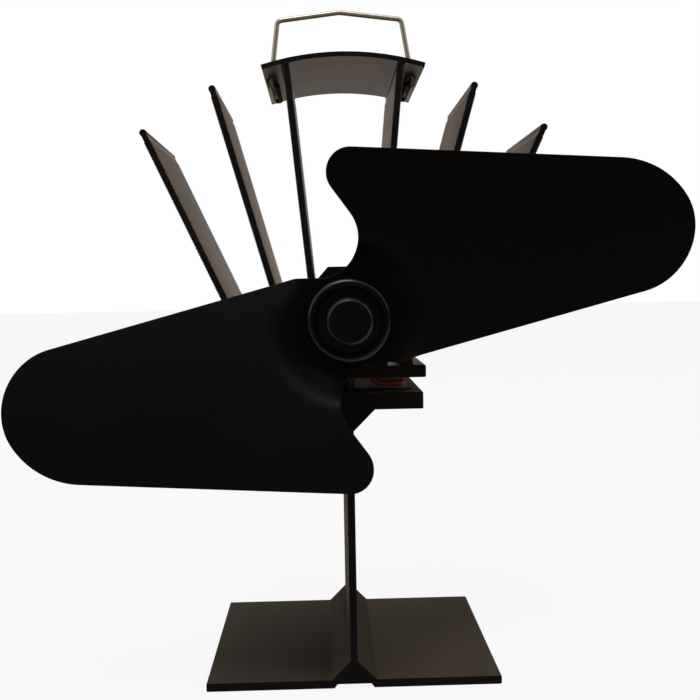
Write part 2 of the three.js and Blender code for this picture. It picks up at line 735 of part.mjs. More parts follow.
// Clamp screw: low head with a hexagon socket, down through the sink plate into the ledge
function clampScrewSolid(y) {
  const headTop = channelFloorHigh;
  const headBottom = headTop - screwHeadHigh;
  const tip = ledgeTop - threadInLedge;
  const radius = screwThread / 2;
  const body = turnedUpright([
    [0, tip],
    [radius - edgeRound, tip],
    [radius, tip + edgeRound],
    [radius, headBottom],
    [screwHead / 2, headBottom],
    [screwHead / 2, headTop - edgeRound],
    [screwHead / 2 - edgeRound, headTop],
    [0, headTop],
  ], 0, y);
  const socket = socketCutter(0, y, screwSocket, headTop, screwHeadHigh * socketDeepShare);
  return surface(cut(body, socket));
}

// Spring washer: a shallow cone between the screw's head and the bush
function springWasherSolid(y) {
  const bottom = clampSeat + bushFlange;
  const inner = screwThread / 2 + seatGap;
  const outer = screwHead / 2 - facePlay;
  return surface(turnedUpright([
    [inner, bottom + washerCone],
    [outer, bottom],
    [outer, bottom + washerThick],
    [inner, bottom + washerCone + washerThick],
  ], 0, y));
}

// Insulating bush: keeps the hot screw off the cold plate
function bushSolid(y) {
  const inner = screwThread / 2 + seatGap;
  const sleeve = inner + bushWall - facePlay;
  return surface(turnedUpright([
    [inner, sinkBottom + seatGap],
    [sleeve, sinkBottom + seatGap],
    [sleeve, clampSeat],
    [screwHead / 2 - facePlay, clampSeat],
    [screwHead / 2 - facePlay, clampSeat + bushFlange],
    [inner, clampSeat + bushFlange],
  ], 0, y));
}

// Motor can: a drawn steel cup, open at the back, with a bearing boss on its front
function motorCanSolid() {
  const front = motorSetback;
  const bush = bushRadius + facePlay;
  return surface(turnedOnAxis([
    [bush, front - bossLength],
    [bossRadius, front - bossLength],
    [bossRadius, front],
    [motorRadius - edgeRound, front],
    [motorRadius, front + edgeRound],
    [motorRadius, motorRear],
    [motorRadius - canWall, motorRear],
    [motorRadius - canWall, front + canWall],
    [bush, front + canWall],
  ]));
}

// Front bush: sintered bronze, pressed into the can's boss
function frontBushSolid() {
  const front = motorSetback - bossLength;
  return surface(turnedOnAxis([
    [shaftRadius + runningGap, front],
    [bushRadius, front],
    [bushRadius, front + frontBushLength],
    [shaftRadius + runningGap, front + frontBushLength],
  ], plainRound));
}

// Magnet: a ferrite ring inside the can
function magnetSolid() {
  const inner = magnetRadius - magnetThick;
  return surface(turnedOnAxis([
    [inner, magnetFront],
    [magnetRadius, magnetFront],
    [magnetRadius, magnetFront + magnetLength],
    [inner, magnetFront + magnetLength],
  ]));
}

// Armature: three wound poles, with a slot between each two
function armatureSolid() {
  const back = armatureFront + armatureLength;
  const core = turnedOnAxis([
    [shaftRadius + facePlay, armatureFront],
    [armatureRadius, armatureFront],
    [armatureRadius, back],
    [shaftRadius + facePlay, back],
  ], fineRound);
  const slots = [0, 1, 2].map((pole) => {
    const turn = Math.PI / 2 + (pole * 2 * Math.PI) / 3;
    const slot = new THREE.BoxGeometry(armatureRadius, armatureLength + 2 * overrun, armatureSlot);
    slot.translate(armatureRadius, 0, 0);
    slot.rotateY(turn);
    slot.translate(0, (armatureFront + back) / 2, motorAxisHigh);
    return solid(slot);
  });
  return surface(cut(core, ...slots));
}

// Commutator: a copper drum behind the armature
function commutatorSolid() {
  const front = armatureFront + armatureLength + facePlay;
  return surface(turnedOnAxis([
    [shaftRadius + facePlay, front],
    [commutatorRadius, front],
    [commutatorRadius, front + commutatorLength],
    [shaftRadius + facePlay, front + commutatorLength],
  ], plainRound));
}

// End cap: a moulded disc that closes the can and carries the rear bush and the terminals
function endCapSolid() {
  const bush = bushRadius + facePlay;
  const plug = motorRadius - canWall - facePlay;
  const capRadius = motorRadius - capInset;
  const terminalGap = terminalThick / 2 + facePlay;
  const cap = turnedOnAxis([
    [bush, motorRear - capLength],
    [plug, motorRear - capLength],
    [plug, motorRear],
    [capRadius, motorRear],
    [capRadius, capRear - edgeRound],
    [capRadius - edgeRound, capRear],
    [bossRadius + rearBossLength, capRear],
    [bossRadius, bossRear],
    [bush, bossRear],
  ]);
  const wide = terminalWide / 2 + facePlay;
  const [low, high] = [terminalHigh - terminalGap, terminalHigh + terminalGap];
  const slots = [-leadAcross, leadAcross].map((x) => {
    const slot = rectangle(x - wide, x + wide, low, high);
    return extruded(slot, motorRear - capLength - overrun, capRear + overrun);
  });
  return surface(cut(cap, ...slots));
}

// Rear bush: the same bronze, in the end cap's boss
function rearBushSolid() {
  return surface(turnedOnAxis([
    [shaftRadius + runningGap, bossRear - rearBushLength],
    [bushRadius, bossRear - rearBushLength],
    [bushRadius, bossRear],
    [shaftRadius + runningGap, bossRear],
  ], plainRound));
}

// Terminals: flat brass tags, level with the top of the leads' rise
function terminalSolid(side) {
  const x = side * leadAcross;
  const wide = terminalWide / 2;
  const thick = terminalThick / 2;
  const tag = rectangle(x - wide, x + wide, terminalHigh - thick, terminalHigh + thick);
  return surface(extruded(tag, motorRear - capLength, capRear + terminalLong));
}

// Grub screw that holds the motor in its ring
function grubScrewSolid() {
  const bottom = motorAxisHigh + motorRadius + facePlay;
  const top = bottom + grubLong;
  const body = turnedUpright([
    [0, bottom],
    [grubRadius - edgeRound, bottom],
    [grubRadius, bottom + edgeRound],
    [grubRadius, top],
    [0, top],
  ], 0, grubSetback);
  const socket = socketCutter(0, grubSetback, grubRadius, top, grubLong * socketDeepShare);
  return surface(cut(body, socket));
}

// A lead from the module's front corner, up through its slot and back under the motor
function leadSolid(side) {
  const stackHigh = (pelletBottom + upperCeramicBottom) / 2;
  const channelHigh = channelFloorHigh + leadThick / 2 + seatGap;
  const exitY = moduleMiddle - moduleSide / 2 - facePlay;
  const slotFront = leadSlotSetback - leadSlotLong / 2 + leadThick / 2 + facePlay;
  const slotMiddle = slotFront + facePlay;
  const underTag = capRear + terminalLong - leadThick / 2;
  const at = (x, y, z) => new THREE.Vector3(side * x, y, z);
  const points = [
    at(leadExit, exitY, stackHigh),
    at(leadExit, exitY - leadBend / 2, stackHigh),
    at(leadExit - leadBend / 2, slotMiddle, stackHigh),
    at((leadExit + leadAcross) / 2, slotFront, stackHigh),
    at(leadAcross + leadBend / 2, slotFront, stackHigh + leadThick / 4),
    at(leadAcross, slotMiddle, sinkBottom + leadThick / 2),
    at(leadAcross, slotMiddle, sinkPlateTop - leadThick / 2),
    at(leadAcross, slotFront + leadThick / 2, channelFloorHigh - seatGap / 2),
    at(leadAcross, slotFront + leadBend, channelHigh),
    at(leadAcross, (slotFront + motorRear) / 2, channelHigh),
    at(leadAcross, motorRear - leadThick, channelHigh),
    at(leadAcross, motorRear + leadThick, channelHigh + leadThick / 4),
    at(leadAcross, underTag, channelHigh + leadBend * 3 / 4),
    at(leadAcross, underTag, terminalHigh - terminalThick / 2 - facePlay),
  ];
  const path = new THREE.CatmullRomCurve3(points, false, 'centripetal');
  const steps = Math.round(path.getLength() / leadStep);
  return wire(path, leadThick, leadSides, steps);
}

// Motor shaft: from the hub's nose, through both bushes
function shaftSolid() {
  const front = hubNose + overrun;
  const back = capRear;
  return surface(turnedOnAxis([
    [0, front],
    [shaftRadius, front],
    [shaftRadius, back],
    [0, back],
  ], plainRound));
}

// Hub: a turned boss, a rounded rim round a recess, and a spigot that the blade sits on
function hubSolid() {
  const rimRound = rimWide / 2;
  const rimMiddle = flangeRadius - rimRound;
  const crown = [];
  for (let step = 0; step <= rimSides; step += 1) {
    const turn = (step / rimSides) * Math.PI;
    const forward = flangeFront + rimRound - rimRound * Math.sin(turn);
    crown.push([rimMiddle - rimRound * Math.cos(turn), forward]);
  }
  const recess = flangeFront + recessDeep + rimRound / 2;
  const bore = shaftRadius + facePlay;
  const body = turnedOnAxis([
    [bore, hubNose + overrun - facePlay],
    [0, hubNose + overrun - facePlay],
    [0, hubNose],
    [hubBossRadius - bossChamfer, hubNose],
    [hubBossRadius, hubNose + bossChamfer],
    [hubBossRadius, recess],
    [rimMiddle - rimRound, recess],
    ...crown,
    [flangeRadius, bladeFront],
    [spigotRadius, bladeFront],
    [spigotRadius, bladeBack + spigotLong],
    [bore, bladeBack + spigotLong],
    [bore, hubNose + overrun - facePlay],
  ]);
  const drillBottom = motorAxisHigh - hubBossRadius - overrun;
  const drill = uprightDrill(0, hubScrewY, hubScrewRadius + seatGap, drillBottom, motorAxisHigh);
  return surface(cut(body, drill));
}

// Set screw through the boss onto the shaft, with its socket facing out
function hubScrewSolid() {
  const top = motorAxisHigh - shaftRadius - facePlay;
  const bottom = top - hubScrewLong;
  const body = turnedUpright([
    [0, bottom],
    [hubScrewRadius, bottom],
    [hubScrewRadius, top - edgeRound],
    [hubScrewRadius - edgeRound, top],
    [0, top],
  ], 0, hubScrewY);
  const socketTop = bottom + hubScrewLong * socketDeepShare;
  const socket = socketCutter(0, hubScrewY, hubScrewRadius, socketTop, hubScrewLong);
  return surface(cut(body, socket.trimByPlane([0, 0, -1], -socketTop)));
}

// Backing ring: pressed on the spigot behind the blade, so that the sheet is held flat
function backingRingSolid() {
  return surface(turnedOnAxis([
    [spigotRadius + facePlay, bladeBack],
    [backingRadius, bladeBack],
    [backingRadius, bladeBack + backingThick - edgeRound],
    [backingRadius - edgeRound, bladeBack + backingThick],
    [spigotRadius + facePlay, bladeBack + backingThick],
  ]));
}

// Blade outline about the axis: two equal paddles, each of straight edges and tangent arcs
function bladeOutline() {
  const dir = (angle) => new THREE.Vector2(Math.cos(angle * degree), Math.sin(angle * degree));
  const leadNormal = dir(leadEdgeAngle + 90);
  const trailNormal = dir(trailEdgeAngle + 90);
  const narrowing = Math.tan(leadEdgeAngle * degree) - Math.tan(trailEdgeAngle * degree);
  const wideAtAxis = leadEdgeOffset / leadNormal.y + trailEdgeOffset / trailNormal.y;
  const halfTip = (wideAtAxis - tipReach * narrowing) / 2;
  const tipSmallRadius = halfTip * tipSmallShare;
  const tipBigRadius = halfTip * tipBigShare;
  const smallOffset = tipSmallRadius - leadEdgeOffset;
  const smallRun = Math.sqrt((tipReach - tipSmallRadius) ** 2 - smallOffset ** 2);
  const small = dir(leadEdgeAngle).multiplyScalar(smallRun).addScaledVector(leadNormal, smallOffset);
  const drop = small.dot(trailNormal) - (trailEdgeOffset - tipBigRadius);
  const shift = Math.sqrt((tipBigRadius - tipSmallRadius) ** 2 - drop ** 2);
  const big = small.clone().addScaledVector(trailNormal, -drop);
  big.addScaledVector(dir(trailEdgeAngle), -shift);
  const meet = Math.atan2(small.y - big.y, small.x - big.x);
  const lobeX = lobeRadius - lobeOverhang;
  const lobeHigh = (trailEdgeOffset - lobeRadius - trailNormal.x * lobeX) / trailNormal.y;
  const lobe = new THREE.Vector2(lobeX, lobeHigh);
  const notchNormal = dir(180 + 90 - notchAngle);
  const reach = notchNormal.dot(lobe) + lobeRadius + notchRadius;
  const waistHalf = (leadEdgeOffset / leadNormal.y) * waistShare;
  const notchHigh = waistHalf + notchRadius;
  const notchX = (reach - notchNormal.y * notchHigh) / notchNormal.x;
  const notch = new THREE.Vector2(-notchX, -notchHigh);
  const waistHigh = waistBend - waistHalf;
  const waistX = (waistBend - leadEdgeOffset - leadNormal.y * waistHigh) / leadNormal.x;
  const waist = new THREE.Vector2(waistX, waistHigh);
  const lobeStart = (180 + 90 - notchAngle) * degree;
  const trail = (trailEdgeAngle + 90) * degree;
  const lead = (leadEdgeAngle - 90) * degree;
  const outline = new THREE.Shape();
  for (const side of [1, -1]) {
    const half = side > 0 ? 0 : Math.PI;
    const arc = (centre, radius, from, to, clockwise) => {
      outline.absarc(side * centre.x, side * centre.y, radius, from + half, to + half, clockwise);
    };
    arc(lobe, lobeRadius, lobeStart, trail, true);
    arc(big, tipBigRadius, trail, meet, true);
    arc(small, tipSmallRadius, meet, lead, true);
    arc(waist, waistBend, lead, -Math.PI / 2, true);
    arc(notch, notchRadius, Math.PI / 2, lobeStart, false);
  }
  return outline;
}

// Nought below nought, one above one, and a soft S between
const smooth = (x) => {
  const t = Math.min(Math.max(x, 0), 1);
  return t * t * (3 - 2 * t);
};

// How far the pressed sheet stands forward of the hub's plane at a point of the front view
function sheetForward(u, v) {
  const along = u * Math.cos(paddleAxisAngle * degree) + v * Math.sin(paddleAxisAngle * degree);
  const across = v * Math.cos(paddleAxisAngle * degree) - u * Math.sin(paddleAxisAngle * degree);
  const lean = along + twistLeanShare * across;
  const ramp = Math.sign(lean) * smooth(Math.abs(lean) / twistRun);
  const blend = smooth((Math.hypot(u, v) - twistStart) / twistBlend);
  return Math.tan(paddlePitch * degree) * across * ramp * blend;
}

// The pressed sheet, larger than the outline: fine columns where it bends, one wide one past them
function pressedSheet() {
  const halfLong = tipReach + sheetCell;
  const halfHigh = trailEdgeOffset + sheetRow;
  const halfGrid = sheetFineHalf + sheetCell;
  const columns = 2 * Math.ceil(halfGrid / sheetCell);
  const rows = 2 * Math.ceil(halfHigh / sheetRow);
  const sheet = new THREE.BoxGeometry(2 * halfGrid, bladeThick, 2 * halfHigh, columns, 1, rows);
  const corners = sheet.attributes.position;
  for (let i = 0; i < corners.count; i += 1) {
    const x = corners.getX(i);
    const v = corners.getZ(i);
    const u = Math.abs(x) > halfGrid - sheetCell / 2 ? Math.sign(x) * halfLong : x;
    const y = corners.getY(i) - bladePlane - sheetForward(u, v);
    corners.setXYZ(i, u, y, motorAxisHigh + v);
  }
  return solid(sheet);
}

// Blade: the outline stamped out of the pressed sheet, with a hole for the hub's spigot
function bladeSolid() {
  const stamp = extruded(bladeOutline(), -bladePlane - trailEdgeOffset, bladePlane);
  const hole = turnedOnAxis([
    [0, -bladePlane - overrun],
    [spigotRadius + facePlay, -bladePlane - overrun],
    [spigotRadius + facePlay, -bladePlane + overrun],
    [0, -bladePlane + overrun],
  ]);
  return surface(cut(pressedSheet().intersect(stamp.translate([0, 0, motorAxisHigh])), hole));
}

const fan = new THREE.Group();

function place(name, geometry, material) {
  const mesh = new THREE.Mesh(geometry, material);
  mesh.name = name;
  fan.add(mesh);
}

function placeSquare(name, side, bottom, thick, material) {
  place(name, surface(stackSquare(side, bottom, thick)), material);
}

place('base_stand', standSolid(), blackAnodised);
place('safety_strip', stripSolid(), bimetal);
place('strip_rivet', rivetSolid(), zincSteel);
placeSquare('thermal_sheet_lower', sheetSide, ledgeTop, sheetThick, graphite);
placeSquare('module_ceramic_hot', moduleSide, lowerCeramicBottom, ceramicThick, ceramicWhite);
placeSquare('module_pellets', pelletSide, pelletBottom, pelletHigh, pelletGrey);
place('module_seal', sealSolid(), sealGrey);
placeSquare('module_ceramic_cold', moduleSide, upperCeramicBottom, ceramicThick, ceramicWhite);
placeSquare('thermal_sheet_upper', sheetSide, upperSheetBottom, sheetThick, graphite);
place('heat_sink', sinkSolid(), blackAnodised);
place('carry_handle', handleSolid(), brightWire);
for (const [end, y] of [['front', frontScrewY], ['rear', rearScrewY]]) {
  place(`clamp_screw_${end}`, clampScrewSolid(y), blackSteel);
  place(`spring_washer_${end}`, springWasherSolid(y), zincSteel);
  place(`insulating_bush_${end}`, bushSolid(y), fibreBrown);
}
place('motor_can', motorCanSolid(), motorSteel);
place('motor_bush_front', frontBushSolid(), bronze);
place('motor_magnet', magnetSolid(), magnetFerrite);
place('motor_end_cap', endCapSolid(), capPlastic);
place('motor_bush_rear', rearBushSolid(), bronze);
place('terminal_red', terminalSolid(1), brass);
place('terminal_black', terminalSolid(-1), brass);
place('motor_grub_screw', grubScrewSolid(), blackSteel);
place('lead_red', leadSolid(1), redSilicone);
place('lead_black', leadSolid(-1), blackSilicone);
place('motor_shaft', shaftSolid(), zincSteel);
place('motor_armature', armatureSolid(), copperWound);
place('motor_commutator', commutatorSolid(), copperWound);
place('blade_hub', hubSolid(), blackPaint);
place('hub_set_screw', hubScrewSolid(), blackSteel);
place('fan_blade', bladeSolid(), blackPaint);
place('blade_backing_ring', backingRingSolid(), blackPaint);

// The finished fan stands with the middle of its outline in plan over the origin
const reach = new THREE.Box3().setFromObject(fan);
fan.position.y = -(reach.min.y + reach.max.y) / 2;

export default fan;
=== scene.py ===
"""A heat-powered stove fan: black finned heat sink on an I-shaped stand, a motor in its ring, a
pressed blade with two paddles and a bent wire handle. Lengths are in metres in the model's frame."""

import math

import bmesh
import bpy
import numpy as np
from mathutils import Matrix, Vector
from mathutils.geometry import delaunay_2d_cdt


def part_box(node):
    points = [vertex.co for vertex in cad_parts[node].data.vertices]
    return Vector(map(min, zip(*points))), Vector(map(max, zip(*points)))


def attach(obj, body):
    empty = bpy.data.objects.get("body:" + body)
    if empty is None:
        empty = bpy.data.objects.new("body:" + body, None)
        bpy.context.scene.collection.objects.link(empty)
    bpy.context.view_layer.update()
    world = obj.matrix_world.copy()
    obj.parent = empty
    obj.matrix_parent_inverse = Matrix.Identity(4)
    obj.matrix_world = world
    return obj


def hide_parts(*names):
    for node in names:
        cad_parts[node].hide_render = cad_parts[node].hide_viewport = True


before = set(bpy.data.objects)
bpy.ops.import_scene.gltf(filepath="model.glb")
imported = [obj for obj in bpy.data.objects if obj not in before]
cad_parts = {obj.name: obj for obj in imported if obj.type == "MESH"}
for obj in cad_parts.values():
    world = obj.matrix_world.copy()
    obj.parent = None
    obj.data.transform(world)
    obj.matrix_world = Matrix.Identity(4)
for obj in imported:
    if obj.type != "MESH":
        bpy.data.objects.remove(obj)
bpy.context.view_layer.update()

# Camera: the fan is seen from in front, a little above the motor's axis and to its left, from a
# third of a metre. All depths count back from the front face that stand and heat sink share.
MM = 0.001
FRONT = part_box("base_stand")[0][1]
AXIS_HIGH = 124.8 * MM
CAMERA_PLACE = (-7.48 * MM, FRONT - 325.2 * MM, 135.54 * MM)
CAMERA_YAW, CAMERA_PITCH, CAMERA_ROLL = (math.radians(a) for a in (1.404, 3.694, 1.054))
CAMERA_LENS, FILM_WIDTH, CAMERA_NEAR = 50.70, 36.0, 0.01


def camera_turn(yaw, pitch, roll):
    """Axes of a camera that looks along +Y, turned right by yaw, down by pitch and rolled."""
    level = math.cos(pitch)
    ahead = np.array([math.sin(yaw) * level, math.cos(yaw) * level, -math.sin(pitch)])
    right = np.array([math.cos(yaw), -math.sin(yaw), 0.0])
    up = np.cross(right, ahead)
    across = math.cos(roll) * right - math.sin(roll) * up
    upward = math.sin(roll) * right + math.cos(roll) * up
    return np.stack([across, upward, -ahead], axis=1)


camera_data = bpy.data.cameras.new("camera")
camera_data.lens = CAMERA_LENS
camera_data.sensor_width = FILM_WIDTH
camera_data.clip_start = CAMERA_NEAR
camera = bpy.data.objects.new("camera", camera_data)
turn = Matrix(camera_turn(CAMERA_YAW, CAMERA_PITCH, CAMERA_ROLL).tolist()).to_4x4()
camera.matrix_world = Matrix.Translation(CAMERA_PLACE) @ turn
bpy.context.collection.objects.link(camera)
bpy.context.scene.camera = camera
bpy.context.scene.view_settings.view_transform = "Standard"


# Studio: a white room behind the fan, a dim one in front, and three soft lamps, of which the main
# one hangs above and ahead. The room's walls are the world; the floor is pale and keeps the shadow.
class Wire:
    """A shader value that reads like a number: each operator adds its Math node."""

    def __init__(self, nodes, socket):
        self.nodes, self.socket = nodes, socket

    def math(self, operation, *values):
        """The Math node of an operation on the values."""
        return self.nodes.make("Math", {"operation": operation}, dict(enumerate(values)))

    def __add__(self, other):
        return self.math("ADD", self, other)

    def __sub__(self, other):
        return self.math("SUBTRACT", self, other)

    def __rsub__(self, other):
        return self.math("SUBTRACT", other, self)

    def __mul__(self, other):
        return self.math("MULTIPLY", self, other)

    def __abs__(self):
        return self.math("ABSOLUTE", self)

    __radd__ = __add__
    __rmul__ = __mul__

    def between(self, low, high):
        """0 below low, 1 above high and smooth in between."""
        settings = {"interpolation_type": "SMOOTHSTEP"}
        return self.nodes.make("MapRange", settings, {"Value": self, "From Min": low, "From Max": high})

    def along(self, axis):
        """One of a vector's three numbers."""
        return self.nodes.make("SeparateXYZ", inputs={"Vector": self}, output=axis)


class Nodes:
    """The node tree of one material or of the world."""

    def __init__(self, owner):
        owner.use_nodes = True
        self.tree = owner.node_tree
        self.tree.nodes.clear()

    def make(self, kind, settings=None, inputs=None, output=0):
        """Adds a node of a type, with its settings first and then its sockets' values or links."""
        node = self.tree.nodes.new("ShaderNode" + kind)
        for name, value in (settings or {}).items():
            setattr(node, name, value)
        for name, value in (inputs or {}).items():
            if isinstance(value, Wire):
                self.tree.links.new(value.socket, node.inputs[name])
            else:
                node.inputs[name].default_value = value
        return Wire(self, node.outputs[output])

    def ray(self, kind):
        """1 for rays of a kind, such as Camera, and 0 for all others."""
        return self.make("LightPath", output="Is " + kind + " Ray")

    def blend(self, share, low, high):
        """Colour that goes from low to high as share goes from 0 to 1. A Mix node's sockets 6 and 7
        are the two colours, and its output 2 is what they blend to."""
        return self.make("Mix", {"data_type": "RGBA"}, {"Factor": share, 6: low, 7: high}, output=2)

    def finish(self, shader, kind="Material"):
        """Links the shader to the output of the material or of the world."""
        end = self.tree.nodes.new("ShaderNodeOutput" + kind)
        self.tree.links.new(shader.socket, end.inputs["Surface"])


ROOM_LIGHT = 0.32
ROOM_AHEAD, ROOM_BEHIND, ROOM_ABOVE = 0.015, 0.80, 1.0
WALL_FADE, CEILING_FADE = (-0.25, 0.75), (0.45, 0.9)
WHITE, WARM_WHITE, COOL_WHITE = (1, 1, 1, 1), (1.0, 0.83, 0.71, 1), (0.74, 0.83, 1.0, 1)
world = bpy.data.worlds.new("studio")
bpy.context.scene.world = world
room = Nodes(world)
direction = room.make("TexCoord", output="Generated")
seen, mirrored, through = room.ray("Camera"), room.ray("Glossy"), room.ray("Transmission")
above = direction.along("Z").between(*CEILING_FADE)
around = ROOM_AHEAD + (ROOM_BEHIND - ROOM_AHEAD) * direction.along("Y").between(*WALL_FADE)
reflected = around + (ROOM_ABOVE - around) * above
plain = ROOM_LIGHT + (reflected - ROOM_LIGHT) * mirrored
level = plain + (1.0 - plain) * seen.math("MAXIMUM", seen, through)
tone = room.blend(mirrored, WHITE, room.blend(above, WARM_WHITE, COOL_WHITE))
room.finish(room.make("Background", inputs={"Color": tone, "Strength": level}), "World")

# The place, width, power in watts and tint of each lamp, and the point that all of them face
LAMPS = {
    "lamp_above": ((-0.15, -0.6, 1.3), 0.5, 7.5, (0.92, 0.96, 1.0)),
    "lamp_left": ((-1.2, -0.5, 0.7), 0.9, 3.2, (0.80, 0.90, 1.0)),
    "lamp_right": ((1.2, -0.3, 0.8), 0.9, 3.0, (1.0, 0.97, 0.94)),
}
LAMPS_FACE = (0.0, 0.0, 0.11)
for name, (place, size, power, tint) in LAMPS.items():
    lamp = bpy.data.lights.new(name, "AREA")
    lamp.shape = "SQUARE"
    lamp.size = size
    lamp.energy = power
    lamp.color = tint
    lamp_object = bpy.data.objects.new(name, lamp)
    aim = np.array(LAMPS_FACE) - np.array(place)
    back = -aim / np.linalg.norm(aim)
    side = np.cross([0.0, 0.0, 1.0], back)
    side /= np.linalg.norm(side)
    rotation = Matrix(np.stack([side, np.cross(back, side), back], axis=1).tolist()).to_4x4()
    lamp_object.matrix_world = Matrix.Translation(place) @ rotation
    bpy.context.collection.objects.link(lamp_object)

FLOOR_REACH, FLOOR_LOWER = 6.0, 0.02 * MM
FLOOR_PAINT, FLOOR_GLOW = (0.68, 0.62, 0.55, 1), 0.91
FLOOR_AHEAD, FLOOR_BEHIND, FLOOR_FADE = 0.05, 0.72, (-0.8, 0.3)


def mesh_piece(name, points, faces, smooth=True, corner_angle=40.0):
    """A mesh object from an (n, 3) array of points and rows of corner numbers; edges sharper than
    corner_angle stay crisp."""
    mesh = bpy.data.meshes.new(name)
    mesh.from_pydata(np.asarray(points).tolist(), [], [list(face) for face in faces])
    mesh.update()
    mesh.polygons.foreach_set("use_smooth", np.full(len(mesh.polygons), smooth))
    if smooth:
        mesh.set_sharp_from_angle(angle=math.radians(corner_angle))
    piece = bpy.data.objects.new(name, mesh)
    bpy.context.collection.objects.link(piece)
    return piece


corners = np.array([[-1, -1, 0], [1, -1, 0], [1, 1, 0], [-1, 1, 0]]) * FLOOR_REACH
floor = mesh_piece("floor", corners - np.array([0, 0, FLOOR_LOWER]), [[0, 1, 2, 3]], smooth=False)
floor_material = bpy.data.materials.new("pale_floor")
ground = Nodes(floor_material)
diffuse = ground.make("BsdfDiffuse", inputs={"Color": FLOOR_PAINT})
seen, mirrored = ground.ray("Camera") + ground.ray("Transmission"), ground.ray("Glossy")
away = ground.make("NewGeometry", output="Position").along("Y").between(*FLOOR_FADE)
strength = 1.0 + (FLOOR_AHEAD + (FLOOR_BEHIND - FLOOR_AHEAD) * away - 1.0) * mirrored
tone = ground.blend(mirrored, WHITE, WARM_WHITE)
glow = ground.make("Emission", inputs={"Color": tone, "Strength": strength})
ground.finish(ground.make("MixShader", inputs={0: seen * FLOOR_GLOW + mirrored, 1: diffuse, 2: glow}))
floor.data.materials.append(floor_material)

# Stand: one black anodised aluminium extrusion, sawn to length. Die lines run from front to back,
# and the ends show the saw's fine marks.
EVEN = (1, 1, 1)
DUST = (0.33, 0.29, 0.25, 1)
# The sawn ends' colours, far darker than the drawn faces' dye: painted shade on the faces toward front
# and back
SAWN_SHADED_LOW, SAWN_SHADED_HIGH = (0.0035, 0.0030, 0.0026, 1), (0.0110, 0.0092, 0.0078, 1)
SAWN_ROUGHER, SAWN_DEEPER = 0.16, 5.0
ANODISED_GLOSS, MARKS_HIGH = 0.07, 0.0012 * MM
CREASE = 32.0
MERGE_GAP, FLAT_TURN = 0.002 * MM, 0.4


def stretched(nodes, stretch, scale, detail, rough=0.55):
    """Noise on object coordinates, drawn out along the axes whose stretch is small."""
    place = nodes.make("TexCoord", output="Object")
    mapped = nodes.make("Mapping", inputs={"Vector": place, "Scale": stretch})
    inputs = {"Vector": mapped, "Scale": scale, "Detail": detail, "Roughness": rough}
    return nodes.make("TexNoise", inputs=inputs)


def dust_share(nodes, amount):
    """Share of settled dust: it lies on faces that look up, in uneven patches."""
    upward = nodes.make("NewGeometry", output="Normal").along("Z")
    patches = stretched(nodes, EVEN, scale=90.0, detail=4.0).between(0.35, 0.8)
    return upward.between(0.3, 1.0) * (patches * 0.7 + 0.3) * amount


def bumped(nodes, height, lift):
    """Normal of a surface raised by height times lift, in metres."""
    return nodes.make("Bump", inputs={"Height": height, "Distance": lift, "Strength": 1.0})


def anodised(name, dark, light, rough, dust, slope_rough=0.0):
    """Black anodised extrusion. Drawn faces: die lines along Y and an uneven, brownish dye; sloping
    ones are duller. Sawn ends, which face along Y, show the saw's fine marks in a far darker colour,
    which is painted shade. A little dust on top."""
    material = bpy.data.materials.new(name)
    nodes = Nodes(material)
    die = stretched(nodes, (1, 0.006, 1), scale=1500.0, detail=2.0)
    cloud = stretched(nodes, EVEN, scale=26.0, detail=4.0)
    grain = stretched(nodes, EVEN, scale=5200.0, detail=1.0)
    teeth = stretched(nodes, (0.05, 1, 1), scale=2600.0, detail=2.0)
    normal = nodes.make("NewGeometry", output="Normal")
    facing, sideways = normal.along("Y"), normal.along("X")
    sawn = (facing * facing).between(0.6, 0.95)
    tilt = sideways * sideways
    sloping = tilt.between(0.15, 0.35) * (1.0 - tilt.between(0.65, 0.85))
    dye = nodes.blend(cloud * 0.7 + die * 0.3, dark, light)
    ends = nodes.blend(teeth * 0.7 + cloud * 0.3, SAWN_SHADED_LOW, SAWN_SHADED_HIGH)
    colour = nodes.blend(dust_share(nodes, dust), nodes.blend(sawn, dye, ends), DUST)
    uneven = (die - 0.5) * 0.06 + (cloud - 0.5) * 0.10
    marks = die + (teeth * SAWN_DEEPER - die) * sawn
    nodes.finish(nodes.make("BsdfPrincipled", inputs={
        "Base Color": colour, "Specular IOR Level": ANODISED_GLOSS,
        "Roughness": rough + uneven + sawn * SAWN_ROUGHER + sloping * slope_rough,
        "Normal": bumped(nodes, marks + grain * 0.3, MARKS_HIGH)}))
    return material


def break_edges(piece, width, angle, segments=2):
    """A small round along every edge that turns by more than angle degrees."""
    edge = piece.modifiers.new("edge", "BEVEL")
    edge.width = width
    edge.segments = segments
    edge.limit_method = "ANGLE"
    edge.angle_limit = math.radians(angle)
    edge.harden_normals = True
    edge.use_clamp_overlap = False


def dressed_copy(node, material, edge, body="fan_body"):
    """The CAD node's own shape with its doubles merged, edges broken by a small bevel and round
    faces shaded smooth; it takes the node's place."""
    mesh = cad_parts[node].data.copy()
    work = bmesh.new()
    work.from_mesh(mesh)
    bmesh.ops.remove_doubles(work, verts=work.verts, dist=MERGE_GAP)
    flat = math.radians(FLAT_TURN)
    bmesh.ops.dissolve_limit(work, angle_limit=flat, verts=work.verts, edges=work.edges)
    work.to_mesh(mesh)
    work.free()
    mesh.materials.clear()
    mesh.materials.append(material)
    mesh.polygons.foreach_set("use_smooth", np.full(len(mesh.polygons), True))
    mesh.set_sharp_from_angle(angle=math.radians(CREASE))
    piece = bpy.data.objects.new(node + "_finished", mesh)
    bpy.context.collection.objects.link(piece)
    break_edges(piece, edge, CREASE)
    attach(piece, body)
    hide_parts(node)


def dress_node(node, material):
    """A CAD node whose own shape shows, with a finished material."""
    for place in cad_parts[node].material_slots:
        place.link = "OBJECT"
        place.material = material


stand_black = anodised("stand_black", (0.038, 0.0282, 0.0170, 1), (0.054, 0.0400, 0.0250, 1),
                       rough=0.64, dust=0.02, slope_rough=0.2)
dressed_copy("base_stand", stand_black, edge=0.10 * MM)


